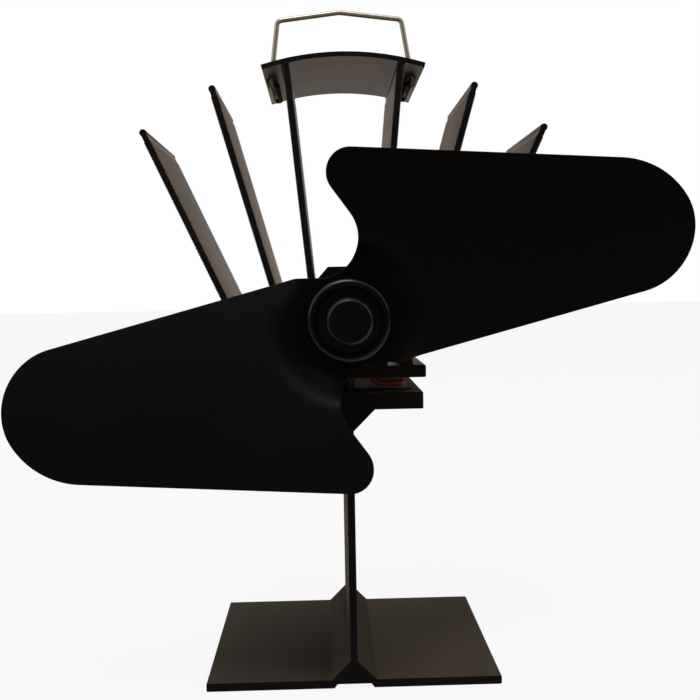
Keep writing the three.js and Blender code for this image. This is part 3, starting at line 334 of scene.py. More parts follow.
# Safety strip: bare bimetal, riveted in the groove under the foot plate; its free end bows down
# when the stove is too hot and tips the stand up a little.
def plain_metal(name, colour, rough, stretch=(1, 0.02, 1), lift=0.004 * MM, metallic=1.0):
    """Rolled, drawn or turned metal: fine lines along the stretched axis and faint smudges."""
    material = bpy.data.materials.new(name)
    nodes = Nodes(material)
    lines = stretched(nodes, stretch, scale=2400.0, detail=2.0)
    smudge = stretched(nodes, EVEN, scale=120.0, detail=4.0)
    low = tuple(c * 0.72 for c in colour) + (1,)
    nodes.finish(nodes.make("BsdfPrincipled", inputs={
        "Base Color": nodes.blend(lines * 0.5 + smudge * 0.5, low, colour + (1,)),
        "Metallic": metallic, "Roughness": rough + (smudge - 0.5) * 0.25,
        "Normal": bumped(nodes, lines, lift)}))
    return material


dress_node("safety_strip", plain_metal("bimetal_bare", (0.50, 0.46, 0.40), rough=0.38))
zinc = plain_metal("zinc_plate", (0.62, 0.63, 0.64), rough=0.32, stretch=EVEN)
dressed_copy("strip_rivet", zinc, edge=0.05 * MM)


# Thermoelectric module: two ceramic plates with pellets between, silicone round the edge, and a
# sheet of graphite foil on each side where it meets the aluminium.
def matte(name, low, high, rough, scale, lift):
    """Dull cast, moulded or fibrous stuff: a mottled colour and a grain of the same scale."""
    material = bpy.data.materials.new(name)
    nodes = Nodes(material)
    grain = stretched(nodes, EVEN, scale, detail=4.0, rough=0.6)
    cloud = stretched(nodes, EVEN, scale / 12.0, detail=3.0)
    nodes.finish(nodes.make("BsdfPrincipled", inputs={
        "Base Color": nodes.blend(grain * 0.6 + cloud * 0.4, low + (1,), high + (1,)),
        "Roughness": rough + (grain - 0.5) * 0.2, "Normal": bumped(nodes, grain, lift)}))
    return material


graphite = matte("graphite_foil", (0.012, 0.012, 0.013), (0.05, 0.05, 0.052),
                 rough=0.6, scale=900.0, lift=0.02 * MM)
# The alumina and the white silicone seal get a dim pinkish grey, far below their own white: painted
# shade, for the shade they lie in under the blade
alumina = matte("alumina", (0.27, 0.213, 0.197), (0.344, 0.272, 0.251),
                rough=0.55, scale=1600.0, lift=0.004 * MM)
pellets = matte("pellets", (0.10, 0.10, 0.10), (0.28, 0.27, 0.26),
                rough=0.5, scale=600.0, lift=0.05 * MM)
seal = matte("seal_white", (0.31, 0.224, 0.195), (0.45, 0.326, 0.284),
             rough=0.5, scale=700.0, lift=0.05 * MM)
dress_node("thermal_sheet_lower", graphite)
dress_node("thermal_sheet_upper", graphite)
dress_node("module_ceramic_hot", alumina)
dress_node("module_ceramic_cold", alumina)
dress_node("module_pellets", pellets)
dress_node("module_seal", seal)

# Heat sink: one black anodised extrusion with a motor ring, six fins and an arch over the middle
# pair. The fins' faces carry fine ribs from the die, which run from front to back.
sink_black = anodised("sink_black", (0.020, 0.0140, 0.0090, 1), (0.030, 0.0215, 0.0145, 1),
                      rough=0.34, dust=0.02)
dressed_copy("heat_sink", sink_black, edge=0.08 * MM)

SINK_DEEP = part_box("heat_sink")[1][1] - FRONT
FIN_HALF = 0.93 * MM
FIN_DATUM = 120.0 * MM
MAIN_RIB_PITCH, RIB_PITCH = 8.0 * MM, 0.8 * MM
RIB_HIGH, RIB_BURIED, RIB_INSET = 0.28 * MM, 0.12 * MM, 0.04 * MM
RIB_STEPS, RIB_CORNER = 6, 70.0
# For each fin of the right side: how far out it stands at FIN_DATUM, how far it leans out for each
# length up, the heights of its foot and tip, and the heights where its fine ribs begin and end
RIBBED_FINS = {
    "middle": (10.25 * MM, 0.095, 133.74 * MM, 207.79 * MM, 138.6 * MM, 206.4 * MM),
    "inner": (20.08 * MM, 0.282, 115.07 * MM, 200.25 * MM, 118.2 * MM, 198.6 * MM),
    "outer": (34.94 * MM, 0.459, 120.657 * MM, 186.5 * MM, 122.6 * MM, 184.8 * MM),
}


def ribbed_face(offset, slope, foot, tip, low, high, hand, side):
    """One ribbed face of a fin between the heights low and high: the surface swells by a raised
    cosine of one rib pitch, in step with the main ribs that lie evenly between foot and tip. The
    strip is closed behind, inside the fin, and carried from front to back."""
    stretch = math.hypot(1, slope)
    length = (tip - foot) * stretch
    main_rib = (length - (int(length / MAIN_RIB_PITCH) - 1) * MAIN_RIB_PITCH) / 2
    start = main_rib + math.ceil(((low - foot) * stretch - main_rib) / RIB_PITCH) * RIB_PITCH
    count = int(((high - foot) * stretch - start) / RIB_PITCH)
    along = start + RIB_PITCH * (np.linspace(0, count, count * RIB_STEPS + 1) - 0.5)
    swell = RIB_HIGH * (0.5 + 0.5 * np.cos(2 * math.pi * (along - main_rib) / RIB_PITCH))
    rise = np.array([slope, 1.0]) / stretch
    out = np.array([rise[1], -rise[0]])
    base = np.array([offset + slope * (foot - FIN_DATUM), foot])
    ridge = base + along[:, None] * rise + side * (FIN_HALF + swell[:, None]) * out
    ends = base + along[[-1, 0], None] * rise + side * (FIN_HALF - RIB_BURIED) * out
    loop = np.concatenate([ridge, ends])
    size = len(loop)
    layers = [np.column_stack([hand * loop[:, 0], np.full(size, y), loop[:, 1]])
              for y in (FRONT + RIB_INSET, FRONT + SINK_DEEP - RIB_INSET)]
    here = np.arange(size)
    ahead = np.roll(here, -1)
    faces = [*np.column_stack([here, ahead, ahead + size, here + size]), here[::-1], here + size]
    if side * hand > 0:
        faces = [face[::-1] for face in faces]
    return np.concatenate(layers), faces


rib_points, rib_faces, corner_count = [], [], 0
for hand in (1, -1):
    for fin in RIBBED_FINS.values():
        for side in (1, -1):
            points, faces = ribbed_face(*fin, hand, side)
            rib_points.append(points)
            rib_faces += [face + corner_count for face in faces]
            corner_count += len(points)
ribs = mesh_piece("fin_ribs", np.concatenate(rib_points), rib_faces, corner_angle=RIB_CORNER)
ribs.data.materials.append(sink_black)
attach(ribs, "fan_body")

# Carrying handle: one length of bright spring wire, bent to a shallow peak. Its legs drop through
# the arch's tabs, and below each tab the end is bent back into a hairpin.
HANDLE_BACK = FRONT + 18.0 * MM
HANDLE_FOOT = 23.852 * MM
HANDLE_SHOULDER = (21.102 * MM, 226.3 * MM)
HANDLE_PEAK = 228.87 * MM
HANDLE_BEND = 1.8 * MM
HANDLE_SHIFT, HANDLE_LEAN = 0.2 * MM, 0.5 * MM
WIRE_RADIUS, WIRE_SIDES, WIRE_GAP = 0.85 * MM, 24, 2.5 * MM
TAB_UNDER = 207.033 * MM
TAB_MIDDLE = TAB_UNDER + 0.8 * MM
HOOK_HIGH = TAB_UNDER - 1.9 * MM
HOOK_IN, HOOK_STEP = 1.55 * MM, 2.9 * MM
HOOK_END, HOOK_REACH = 4.5 * MM, 31.5 * MM
HOOK_PITCH = 2.4 * MM
HOOK_BEND = 0.45 * HOOK_PITCH
HOOK_MIDDLE = HANDLE_FOOT - HOOK_IN + HOOK_PITCH / 2
# Painted shade on the wire below the tabs: a dark colour, strongest on the hairpins' inner runs
HOOK_PAINTED_SHADE = (0.010, 0.008, 0.007, 1)
SHADE_TOP, SHADE_FULL, SHADE_FADE = -0.3 * MM, 0.6 * MM, 0.3 * MM


def rounded_path(corners, radii, steps=8):
    """Points of straight runs joined by arcs: at each inner corner the arc of its own radius that
    touches both runs, as the two arms from its centre blended by sines of the angle."""
    path = [corners[0]]
    for before, corner, after, radius in zip(corners[:-2], corners[1:-1], corners[2:], radii):
        back, ahead = before - corner, after - corner
        back, ahead = back / np.linalg.norm(back), ahead / np.linalg.norm(ahead)
        turn = math.pi - math.acos(back @ ahead)
        inward = (back + ahead) / np.linalg.norm(back + ahead)
        centre = corner + inward * radius / math.cos(turn / 2)
        enter = corner + back * radius * math.tan(turn / 2) - centre
        leave = corner + ahead * radius * math.tan(turn / 2) - centre
        t = np.linspace(0, 1, steps + 1)[:, None]
        arms = np.sin((1 - t) * turn) * enter + np.sin(t * turn) * leave
        path.extend(centre + arms / math.sin(turn))
    return np.array(path + [corners[-1]])


def even_points(path, gap):
    """The path's points again, at most gap apart."""
    run = np.concatenate([[0], np.cumsum(np.linalg.norm(np.diff(path, axis=0), axis=1))])
    places = np.union1d(run, np.linspace(0, run[-1], int(run[-1] / gap) + 2))
    return np.column_stack([np.interp(places, run, path[:, k]) for k in range(3)])


def ring_cells(rings, sides):
    """Corner numbers of the cells between rings of points that lie one after another: a corner, the
    next one round, and the same two in the next ring."""
    row, side = np.meshgrid(np.arange(rings - 1), np.arange(sides), indexing="ij")
    here, there = row * sides + side, row * sides + (side + 1) % sides
    return np.stack([here, there, there + sides, here + sides], axis=-1).reshape(-1, 4)


def tube(path, radius, sides):
    """A round bar along a path: at each point a ring in the plane across the path's direction, with
    its first axis at right angles to a fixed diagonal; a flat disc closes each end."""
    tangent = np.gradient(path, axis=0)
    tangent /= np.linalg.norm(tangent, axis=1)[:, None]
    first = np.cross(tangent, np.array([1.0, 1.0, 1.0]))
    first /= np.linalg.norm(first, axis=1)[:, None]
    second = np.cross(tangent, first)
    angle = np.linspace(0, 2 * math.pi, sides, endpoint=False)[None, :, None]
    ring = np.cos(angle) * first[:, None] + np.sin(angle) * second[:, None]
    points = (path[:, None] + radius * ring).reshape(-1, 3)
    disc = np.arange(sides)
    return points, [*ring_cells(len(path), sides), disc[::-1], disc + (len(path) - 1) * sides]


def drawn_wire(name, bright, dull, rough):
    """Bright drawn wire with faint smudges. Below the tabs it is painted darker and duller, most of all
    each hairpin's inner run, which lies nearer the middle than HOOK_MIDDLE: painted shade, for the
    shade under the tabs."""
    material = bpy.data.materials.new(name)
    nodes = Nodes(material)
    place = nodes.make("TexCoord", output="Object")
    below = (TAB_UNDER - place.along("Z")).between(SHADE_TOP, SHADE_FULL)
    outer = abs(place.along("X")).between(HOOK_MIDDLE - SHADE_FADE, HOOK_MIDDLE + SHADE_FADE)
    inner = 1.0 - outer
    smudge = stretched(nodes, EVEN, scale=120.0, detail=4.0)
    clean = nodes.blend(smudge, dull, bright)
    nodes.finish(nodes.make("BsdfPrincipled", inputs={
        "Base Color": nodes.blend(below * (inner * 0.6 + 0.35), clean, HOOK_PAINTED_SHADE),
        "Metallic": 0.75 - below * 0.3,
        "Roughness": rough + smudge * 0.12 + below * (inner * 0.4 + 0.15),
        "Normal": bumped(nodes, smudge, 0.002 * MM)}))
    return material


splay = (HANDLE_FOOT - HANDLE_SHOULDER[0]) / (HANDLE_SHOULDER[1] - TAB_MIDDLE)
half_handle = np.array([
    [HANDLE_FOOT - HOOK_IN + HOOK_PITCH, HOOK_END, HOOK_HIGH],
    [HANDLE_FOOT - HOOK_IN + HOOK_PITCH, HOOK_REACH, HOOK_HIGH],
    [HANDLE_FOOT - HOOK_IN, HOOK_REACH, HOOK_HIGH],
    [HANDLE_FOOT - HOOK_IN, HOOK_STEP, HOOK_HIGH],
    [HANDLE_FOOT + splay * (TAB_MIDDLE - HOOK_HIGH), 0, HOOK_HIGH],
    [HANDLE_SHOULDER[0], 0, HANDLE_SHOULDER[1]],
])
handle_corners = np.concatenate([
    half_handle, [[0, 0, HANDLE_PEAK]], (half_handle * np.array([-1, 1, 1]))[::-1]])
leaning = HANDLE_LEAN * (handle_corners[:, 2] - HOOK_HIGH) / (HANDLE_PEAK - HOOK_HIGH)
handle_corners[:, 0] -= HANDLE_SHIFT + leaning
handle_corners[:, 1] += HANDLE_BACK
half_bends = [HOOK_BEND, HOOK_BEND, HANDLE_BEND, HANDLE_BEND, HANDLE_BEND]
handle_bends = half_bends + [HANDLE_BEND] + half_bends[::-1]
handle_path = even_points(rounded_path(handle_corners, handle_bends), WIRE_GAP)
handle = mesh_piece("handle_wire", *tube(handle_path, WIRE_RADIUS, WIRE_SIDES))
wire_steel = drawn_wire("wire_steel", (0.62, 0.55, 0.42, 1), (0.44, 0.39, 0.30, 1), rough=0.30)
handle.data.materials.append(wire_steel)
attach(handle, "fan_body")
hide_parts("carry_handle")

# Clamp screws: black socket heads in counterbores of the motor ring's floor, each on a conical
# spring washer and a red fibre bush that keeps the hot screw off the cold sink.
black_oxide = plain_metal("black_oxide", (0.016, 0.015, 0.014), rough=0.46, stretch=EVEN, metallic=0.35)
fibre = matte("fibre_red", (0.12, 0.03, 0.02), (0.22, 0.06, 0.035),
              rough=0.7, scale=800.0, lift=0.02 * MM)
for end in ("front", "rear"):
    dressed_copy("clamp_screw_" + end, black_oxide, edge=0.08 * MM)
    dressed_copy("spring_washer_" + end, zinc, edge=0.04 * MM)
    dressed_copy("insulating_bush_" + end, fibre, edge=0.04 * MM)

# Motor: a drawn steel can with a moulded end cap, bronze bushes and two brass terminals. It is held
# in the ring by one grub screw from above.
motor_steel = plain_metal("motor_steel", (0.50, 0.51, 0.52), rough=0.34, stretch=(1, 0.03, 1))
cap_black = matte("cap_black", (0.012, 0.012, 0.013), (0.03, 0.03, 0.032),
                  rough=0.5, scale=700.0, lift=0.02 * MM)
bronze = plain_metal("bronze_sintered", (0.42, 0.27, 0.12), rough=0.5, stretch=EVEN, lift=0.01 * MM)
brass = plain_metal("terminal_brass", (0.62, 0.45, 0.20), rough=0.3)
ferrite = matte("ferrite", (0.03, 0.028, 0.027), (0.06, 0.057, 0.054),
                rough=0.6, scale=1200.0, lift=0.01 * MM)
copper = plain_metal("copper_wound", (0.55, 0.24, 0.10),
                     rough=0.35, stretch=(0.05, 1, 0.05), lift=0.05 * MM)
shaft_steel = plain_metal("shaft_steel", (0.56, 0.56, 0.57), rough=0.2)
dressed_copy("motor_can", motor_steel, edge=0.12 * MM)
dressed_copy("motor_end_cap", cap_black, edge=0.12 * MM)
dressed_copy("motor_bush_front", bronze, edge=0.06 * MM)
dressed_copy("motor_bush_rear", bronze, edge=0.06 * MM)
dressed_copy("motor_magnet", ferrite, edge=0.1 * MM)
dressed_copy("motor_grub_screw", black_oxide, edge=0.06 * MM)
dress_node("terminal_red", brass)
dress_node("terminal_black", brass)
dressed_copy("motor_armature", copper, edge=0.1 * MM, body="rotor")
dressed_copy("motor_commutator", copper, edge=0.06 * MM, body="rotor")
dressed_copy("motor_shaft", shaft_steel, edge=0.1 * MM, body="rotor")

# Leads: two silicone-sleeved wires from the module's front corners, up through slots in the sink's
# plate and back along the channel under the motor to its terminals, with a bead of solder there.
LEAD_RADIUS, LEAD_SIDES, LEAD_GAP = 0.9 * MM, 16, 0.8 * MM
# The red lead's route in millimetres, its depths counted back from FRONT; the black one's is its
# mirror image
LEAD_POINTS = [
    (18.4, 10.8, 102.65), (18.4, 9.0, 102.65), (16.6, 5.7, 102.65), (13.15, 5.6, 102.65),
    (9.7, 5.6, 103.1), (7.9, 5.7, 105.95), (7.9, 5.7, 108.25), (7.9, 6.5, 111.75),
    (7.9, 9.2, 113.1), (7.9, 15.8, 113.1), (7.9, 24.2, 113.1), (7.9, 27.8, 113.55),
    (7.9, 31.3, 115.8), (7.9, 31.3, 118.35),
]
# The red lead's bead: its middle, as above, and its half-widths in millimetres
BEAD_PLACE, BEAD_HALF = (7.9, 31.3, 119.2), (1.1, 1.3, 0.6)
BEAD_RINGS, BEAD_SIDES, BEAD_DIMPLE = 13, 24, 0.08


def drawn_through(points, steps=10):
    """A centripetal Catmull-Rom curve: between two points it is the cubic whose end slopes come from
    the neighbours, weighted by the square roots of the distances."""
    points = np.asarray(points)
    whole = np.concatenate([[2 * points[0] - points[1]], points, [2 * points[-1] - points[-2]]])
    gap = np.sqrt(np.linalg.norm(np.diff(whole, axis=0), axis=1))[:, None]
    slope = np.diff(whole, axis=0) / gap
    start, end = whole[1:-2], whole[2:-1]
    before, here, after = gap[:-2], gap[1:-1], gap[2:]
    leave = (slope[:-2] - (whole[2:-1] - whole[:-3]) / (before + here) + slope[1:-1]) * here
    arrive = (slope[1:-1] - (whole[3:] - whole[1:-2]) / (here + after) + slope[2:]) * here
    t = np.linspace(0, 1, steps, endpoint=False)[None, :, None]
    square, cube = 3 * (end - start) - 2 * leave - arrive, 2 * (start - end) + leave + arrive
    a, b, c, d = (v[:, None] for v in (start, leave, square, cube))
    return np.concatenate([(a + b * t + c * t ** 2 + d * t ** 3).reshape(-1, 3), points[-1:]])


def closed_rings(rings, sides):
    """Faces of rings of points that lie one after another and end in two poles, whose points come
    last: the cells between the rings, and a fan of triangles round each pole."""
    first, pole = np.arange(sides), rings * sides
    ahead, last = (first + 1) % sides, pole - sides
    start = np.column_stack([np.full(sides, pole), ahead, first])
    end = np.column_stack([np.full(sides, pole + 1), last + first, last + ahead])
    return [*ring_cells(rings, sides), *start, *end]


def solder_bead(name, centre):
    """A rounded blob: a sphere's rings of points, dimpled by a sine and scaled to the three
    half-widths. Its rings go the other way round, so each face is turned over."""
    v, u = np.meshgrid(np.linspace(0, math.pi, BEAD_RINGS + 2)[1:-1],
                       np.linspace(0, 2 * math.pi, BEAD_SIDES, endpoint=False), indexing="ij")
    swell = 1 + BEAD_DIMPLE * np.sin(3 * u + 2 * v)
    ball = np.stack([np.sin(v) * np.cos(u), np.sin(v) * np.sin(u), np.cos(v)], axis=-1)
    ball = np.concatenate([(ball * swell[..., None]).reshape(-1, 3), [[0, 0, 1], [0, 0, -1]]])
    faces = [np.append(face[0], face[:0:-1]) for face in closed_rings(BEAD_RINGS, BEAD_SIDES)]
    bead = mesh_piece(name, centre + ball * np.array(BEAD_HALF) * MM, faces)
    bead.data.materials.append(solder)
    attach(bead, "fan_body")


solder = plain_metal("solder", (0.58, 0.58, 0.57), rough=0.36, stretch=EVEN, lift=0.02 * MM)
red_silicone = matte("silicone_red", (0.17, 0.006, 0.005), (0.25, 0.012, 0.009),
                     rough=0.6, scale=900.0, lift=0.01 * MM)
black_silicone = matte("silicone_black", (0.006, 0.006, 0.006), (0.014, 0.014, 0.014),
                       rough=0.42, scale=900.0, lift=0.01 * MM)
for colour, hand, sleeve in (("red", 1, red_silicone), ("black", -1, black_silicone)):
    route = np.array(LEAD_POINTS) * np.array([hand, 1, 1]) * MM + np.array([0, FRONT, 0])
    lead_path = even_points(drawn_through(route), LEAD_GAP)
    lead = mesh_piece("lead_" + colour + "_sleeve", *tube(lead_path, LEAD_RADIUS, LEAD_SIDES))
    lead.data.materials.append(sleeve)
    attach(lead, "fan_body")
    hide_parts("lead_" + colour)
    tag = np.array(BEAD_PLACE) * np.array([hand, 1, 1]) * MM + np.array([0, FRONT, 0])
    solder_bead("solder_" + colour, tag)

# Blade hub: a turned boss with a rounded rim, black; a set screw in the boss grips the shaft. The
# backing ring is pressed on its spigot behind the blade. Sizes without MM are in millimetres, and
# depths count from FRONT.
HUB_NOSE, HUB_BORE_END = -26.7, -24.8
BOSS, BOSS_CHAMFER = 7.1, 0.7
RIM_MIDDLE, RIM_ROUND, RIM_DEEP, RECESS = 11.8, 1.5, -15.6, -15.05
HUB_BACK = -13.5
SPIGOT, SPIGOT_END, SHAFT_BORE = 5.0, -5.9, 1.1
HUB_SCREW, HUB_SCREW_HOLE, DRILL_PAST = -20.3, 1.8, 1.0
CROWN_POINTS, HUB_SIDES, DRILL_SIDES = 25, 128, 32
HUB_EDGE = 0.15 * MM


def satin_paint(name, dark, light, rough, gloss):
    """Baked black paint: very fine orange peel, faint clouds, and a trace of dust."""
    material = bpy.data.materials.new(name)
    nodes = Nodes(material)
    peel = stretched(nodes, EVEN, scale=1700.0, detail=2.0)
    cloud = stretched(nodes, EVEN, scale=22.0, detail=4.0)
    specks = stretched(nodes, EVEN, scale=2600.0, detail=1.0).between(0.74, 0.8)
    dust = specks * 0.012 + dust_share(nodes, 0.012)
    nodes.finish(nodes.make("BsdfPrincipled", inputs={
        "Base Color": nodes.blend(dust, nodes.blend(cloud, dark, light), DUST),
        "Roughness": rough + (cloud - 0.5) * 0.14 + (peel - 0.5) * 0.06,
        "Normal": bumped(nodes, peel, 0.004 * MM), "Specular IOR Level": gloss}))
    return material


def face_out(piece):
    """Turns every face of a closed piece outward."""
    work = bmesh.new()
    work.from_mesh(piece.data)
    bmesh.ops.recalc_face_normals(work, faces=work.faces)
    work.to_mesh(piece.data)
    work.free()


def lathed(profile, centre):
    """A turned piece: the profile's rows of (radius, place along Y), which start and end on the axis,
    carried round the axis through centre in even steps."""
    radius, depth = profile[1:-1, 0], profile[1:-1, 1:]
    angle = np.linspace(0, 2 * math.pi, HUB_SIDES, endpoint=False)
    sideways, upward = np.outer(radius, np.cos(angle)), np.outer(radius, np.sin(angle))
    rings = np.stack([sideways, np.repeat(depth, HUB_SIDES, axis=1), upward], axis=-1)
    poles = [[0, profile[0, 1], 0], [0, profile[-1, 1], 0]]
    points = np.concatenate([rings.reshape(-1, 3), poles]) + centre
    return points, closed_rings(len(rings), HUB_SIDES)


def drilled(piece, path, radius):
    """The piece with a round hole along a straight path."""
    drill = mesh_piece("drill", *tube(path, radius, DRILL_SIDES))
    face_out(drill)
    hole = piece.modifiers.new("hole", "BOOLEAN")
    hole.object = drill
    solid = piece.evaluated_get(bpy.context.evaluated_depsgraph_get())
    piece.data = bpy.data.meshes.new_from_object(solid)
    piece.modifiers.clear()
    piece.data.set_sharp_from_angle(angle=math.radians(CREASE))
    bpy.data.objects.remove(drill)


hub_black = satin_paint("hub_black", (0.0014, 0.0011, 0.0009, 1), (0.0026, 0.0021, 0.0017, 1),
                        rough=0.30, gloss=0.42)
crown = np.linspace(math.pi, 0, CROWN_POINTS)
crown = np.column_stack([RIM_MIDDLE + RIM_ROUND * np.cos(crown), RIM_DEEP - RIM_ROUND * np.sin(crown)])
hub_profile = np.concatenate([
    [[0, HUB_NOSE], [BOSS - BOSS_CHAMFER, HUB_NOSE], [BOSS, HUB_NOSE + BOSS_CHAMFER], [BOSS, RECESS],
     [RIM_MIDDLE - RIM_ROUND, RECESS]], crown,
    [[RIM_MIDDLE + RIM_ROUND, HUB_BACK], [SPIGOT, HUB_BACK], [SPIGOT, SPIGOT_END],
     [SHAFT_BORE, SPIGOT_END], [SHAFT_BORE, HUB_BORE_END], [0, HUB_BORE_END]]])
on_axis = np.array([0, FRONT, AXIS_HIGH])
hub = mesh_piece("hub_turned", *lathed(hub_profile * MM, on_axis), corner_angle=CREASE)
face_out(hub)
screw_way = np.array([[0, HUB_SCREW, -BOSS - DRILL_PAST], [0, HUB_SCREW, 0]]) * MM + on_axis
drilled(hub, screw_way, HUB_SCREW_HOLE * MM)
hub.data.materials.append(hub_black)
break_edges(hub, HUB_EDGE, CREASE)
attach(hub, "rotor")
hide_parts("blade_hub")
dressed_copy("hub_set_screw", black_oxide, edge=0.06 * MM, body="rotor")
dressed_copy("blade_backing_ring", hub_black, edge=0.12 * MM, body="rotor")

# Blade: one sheet of aluminium, stamped to its outline and pressed so that each paddle leans from
# the flat middle, then painted. Both halves are the same, half a turn apart. Sizes without MM are
# in millimetres, and angles in degrees.
BLADE_PLANE, BLADE_THICK, BLADE_BORE = 13.0, 1.0, 5.1
TIP_REACH = 112.8
LEAD_EDGE = (17.4, 15.0)
TRAIL_EDGE = (52.15, -2.6)
TIP_SMALL, TIP_BIG = 18.708, 29.203
LOBE, LOBE_OVERHANG = 7.2, 6.5
NOTCH, NOTCH_ANGLE = 12.2, 53.0
WAIST_SHARE, WAIST_BEND = 0.75, 4.0
PITCH, PADDLE_AXIS = 18.0, 8.0
TWIST_LEAN, TWIST_RUN, TWIST_START, TWIST_BLEND = 0.35, 16.0, 17.0, 10.0
RIM_STEP, LEAST_STEPS, BORE_SIDES = 1.1, 6, 48
CELL, ROW_SHARE, RIM_CLEAR_SHARE, BORE_CLEAR_SHARE = 2.2, 0.87, 0.55, 0.6
FIELD_WIDE, FIELD_HIGH = 114, 54
BLADE_EDGE, BLADE_CORNER, BLADE_EDGE_STEPS = 0.3 * MM, 50.0, 3
TINY, MEET_GAP, BATCHES = 1e-9, 1e-6, 8


def unit(angle):
    """Unit vector at an angle in degrees."""
    return np.array([math.cos(math.radians(angle)), math.sin(math.radians(angle))])


def blade_outline():
    """Points round the blade in the front view, RIM_STEP apart: straight edges, each joined to the
    next by arcs that touch them; the second half is the first, turned about the motor's axis. Each
    edge is given by its distance from the axis and its angle."""
    lead_out, trail_out = unit(LEAD_EDGE[1] + 90), unit(TRAIL_EDGE[1] + 90)
    small_off = TIP_SMALL - LEAD_EDGE[0]
    small_run = math.sqrt((TIP_REACH - TIP_SMALL) ** 2 - small_off ** 2)
    small = unit(LEAD_EDGE[1]) * small_run + lead_out * small_off
    drop = small @ trail_out - (TRAIL_EDGE[0] - TIP_BIG)
    shift = math.sqrt((TIP_BIG - TIP_SMALL) ** 2 - drop ** 2)
    big = small - trail_out * drop - unit(TRAIL_EDGE[1]) * shift
    meet = math.degrees(math.atan2(*(small - big)[::-1]))
    lobe_x = LOBE - LOBE_OVERHANG
    lobe = np.array([lobe_x, (TRAIL_EDGE[0] - LOBE - trail_out[0] * lobe_x) / trail_out[1]])
    lobe_start = 270 - NOTCH_ANGLE
    notch_out = unit(lobe_start)
    waist_half = LEAD_EDGE[0] / lead_out[1] * WAIST_SHARE
    level = np.array([0.0, 1.0])
    notch = np.linalg.solve([notch_out, level], [notch_out @ lobe + LOBE + NOTCH, waist_half + NOTCH])
    waist = np.linalg.solve([lead_out, level], [WAIST_BEND - LEAD_EDGE[0], WAIST_BEND - waist_half])
    arcs = [
        (lobe, LOBE, lobe_start, TRAIL_EDGE[1] + 90),
        (big, TIP_BIG, TRAIL_EDGE[1] + 90, meet),
        (small, TIP_SMALL, meet, LEAD_EDGE[1] - 90),
        (waist, WAIST_BEND, LEAD_EDGE[1] - 90, -90),
        (-notch, NOTCH, 90, lobe_start),
    ]
    half = []
    for centre, radius, start, end in arcs:
        count = max(int(abs(math.radians(end - start)) * radius / RIM_STEP), LEAST_STEPS)
        angle = np.radians(np.linspace(start, end, count + 1))
        half.append(centre + radius * np.column_stack([np.cos(angle), np.sin(angle)]))
    half = np.concatenate(half)
    loop = np.concatenate([half, -half])
    closed = np.concatenate([loop, loop[:1]])
    run = np.concatenate([[0], np.cumsum(np.linalg.norm(np.diff(closed, axis=0), axis=1))])
    places = np.linspace(0, run[-1], int(run[-1] / RIM_STEP), endpoint=False)
    return np.column_stack([np.interp(places, run, closed[:, k]) for k in range(2)])


def eased(x):
    """0 below 0, 1 above 1, and x squared times 3 - 2x between."""
    t = np.clip(x, 0, 1)
    return t * t * (3 - 2 * t)


def sheet_forward(u, v):
    """How far the pressed sheet stands forward of the hub's plane: the height across the paddle's
    axis times the pitch's tangent, faded in away from the flat middle and changing sign there."""
    axis = unit(PADDLE_AXIS)
    along, across = u * axis[0] + v * axis[1], v * axis[0] - u * axis[1]
    turn = along + TWIST_LEAN * across
    ramp = np.sign(turn) * eased(np.abs(turn) / TWIST_RUN)
    fade = eased((np.hypot(u, v) - TWIST_START) / TWIST_BLEND)
    return math.tan(math.radians(PITCH)) * across * ramp * fade


def inside(points, loop):
    """Which points lie in a closed loop, by counting the edges that a ray to the right crosses."""
    x, y = points[:, None, 0], points[:, None, 1]
    ahead = np.roll(loop, -1, axis=0)
    run, rise = (ahead - loop).T
    rise = np.where(np.abs(rise) < TINY, TINY, rise)
    spans = (loop[:, 1] > y) != (ahead[:, 1] > y)
    crossing = loop[:, 0] + (y - loop[:, 1]) / rise * run
    return (spans & (x < crossing)).sum(axis=1) % 2 == 1


def blade_fill(rim):
    """Points in the sheet: a field of rows CELL apart, each second one shifted by half a cell,
    without the points that lie outside the rim, near to it, or near to the bore."""
    x, y = np.meshgrid(np.arange(-FIELD_WIDE, FIELD_WIDE + 1, CELL),
                       np.arange(-FIELD_HIGH, FIELD_HIGH + 1, CELL * ROW_SHARE))
    x = x + (np.arange(x.shape[0]) % 2)[:, None] * CELL / 2
    fill = np.column_stack([x.ravel(), y.ravel()])
    fill = fill[inside(fill, rim)]
    nearest = np.concatenate([
        np.linalg.norm(part[:, None] - rim[None], axis=-1).min(axis=1)
        for part in np.array_split(fill, BATCHES)])
    clear_of_bore = np.linalg.norm(fill, axis=1) > BLADE_BORE + CELL * BORE_CLEAR_SHARE
    return fill[(nearest > CELL * RIM_CLEAR_SHARE) & clear_of_bore]


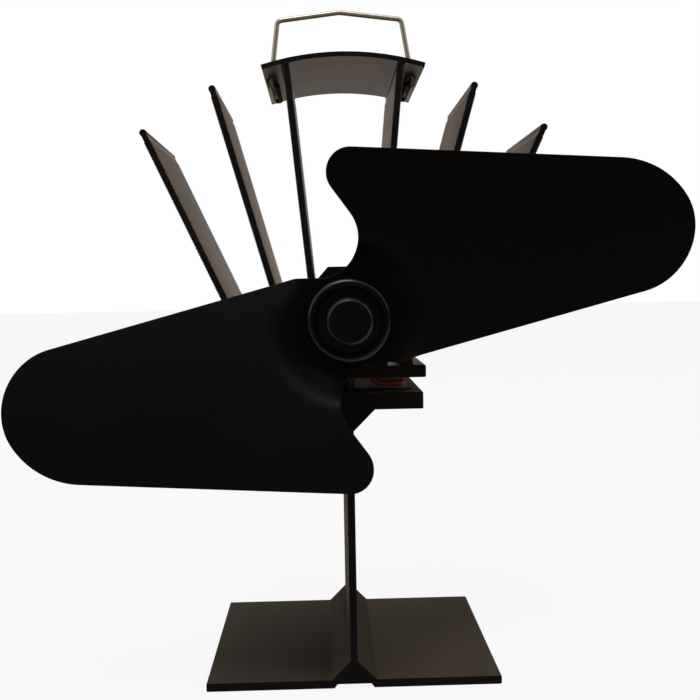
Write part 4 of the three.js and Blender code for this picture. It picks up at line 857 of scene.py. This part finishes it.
def blade_mesh():
    """The blade as a closed thin shell: the outline filled with triangles, lifted to the pressed
    surface, copied to front and back by half the thickness, and joined round both edges."""
    rim = blade_outline()
    angle = np.linspace(0, 2 * math.pi, BORE_SIDES, endpoint=False)
    bore = BLADE_BORE * np.column_stack([np.cos(angle), np.sin(angle)])
    flat = np.concatenate([rim, bore, blade_fill(rim)])
    loops = [start + np.arange(size) for start, size in ((0, len(rim)), (len(rim), BORE_SIDES))]
    edges = np.concatenate([np.column_stack([loop, np.roll(loop, -1)]) for loop in loops])
    _, _, faces, source, _, _ = delaunay_2d_cdt(flat.tolist(), edges.tolist(), [], 1, MEET_GAP)
    order = np.array([s[0] for s in source])
    flat = flat[order]
    faces = np.array([list(f) for f in faces])
    faces = faces[np.linalg.norm(flat[faces].mean(axis=1), axis=1) > BLADE_BORE]
    one, two = flat[faces[:, 1]] - flat[faces[:, 0]], flat[faces[:, 2]] - flat[faces[:, 0]]
    area = one[:, 0] * two[:, 1] - one[:, 1] * two[:, 0]
    faces = np.where(area[:, None] > 0, faces, faces[:, ::-1])
    middle = -BLADE_PLANE - sheet_forward(flat[:, 0], flat[:, 1])
    layers = [np.column_stack([flat[:, 0], middle + half, flat[:, 1]])
              for half in (-BLADE_THICK / 2, BLADE_THICK / 2)]
    count = len(flat)
    place = np.empty(count, dtype=int)
    place[order] = np.arange(count)
    here, ahead = place[edges].T
    walls = np.column_stack([here, here + count, ahead + count, ahead])
    points = np.concatenate(layers) * MM + np.array([0, FRONT, AXIS_HIGH])
    return points, [*faces, *(faces[:, ::-1] + count), *walls]


blade_black = satin_paint("blade_black", (0.0012, 0.0010, 0.0009, 1), (0.0022, 0.0019, 0.0017, 1),
                          rough=0.46, gloss=0.08)
blade = mesh_piece("blade_sheet", *blade_mesh(), corner_angle=BLADE_CORNER)
face_out(blade)
break_edges(blade, BLADE_EDGE, BLADE_CORNER, BLADE_EDGE_STEPS)
blade.data.materials.append(blade_black)
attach(blade, "rotor")
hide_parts("fan_blade")
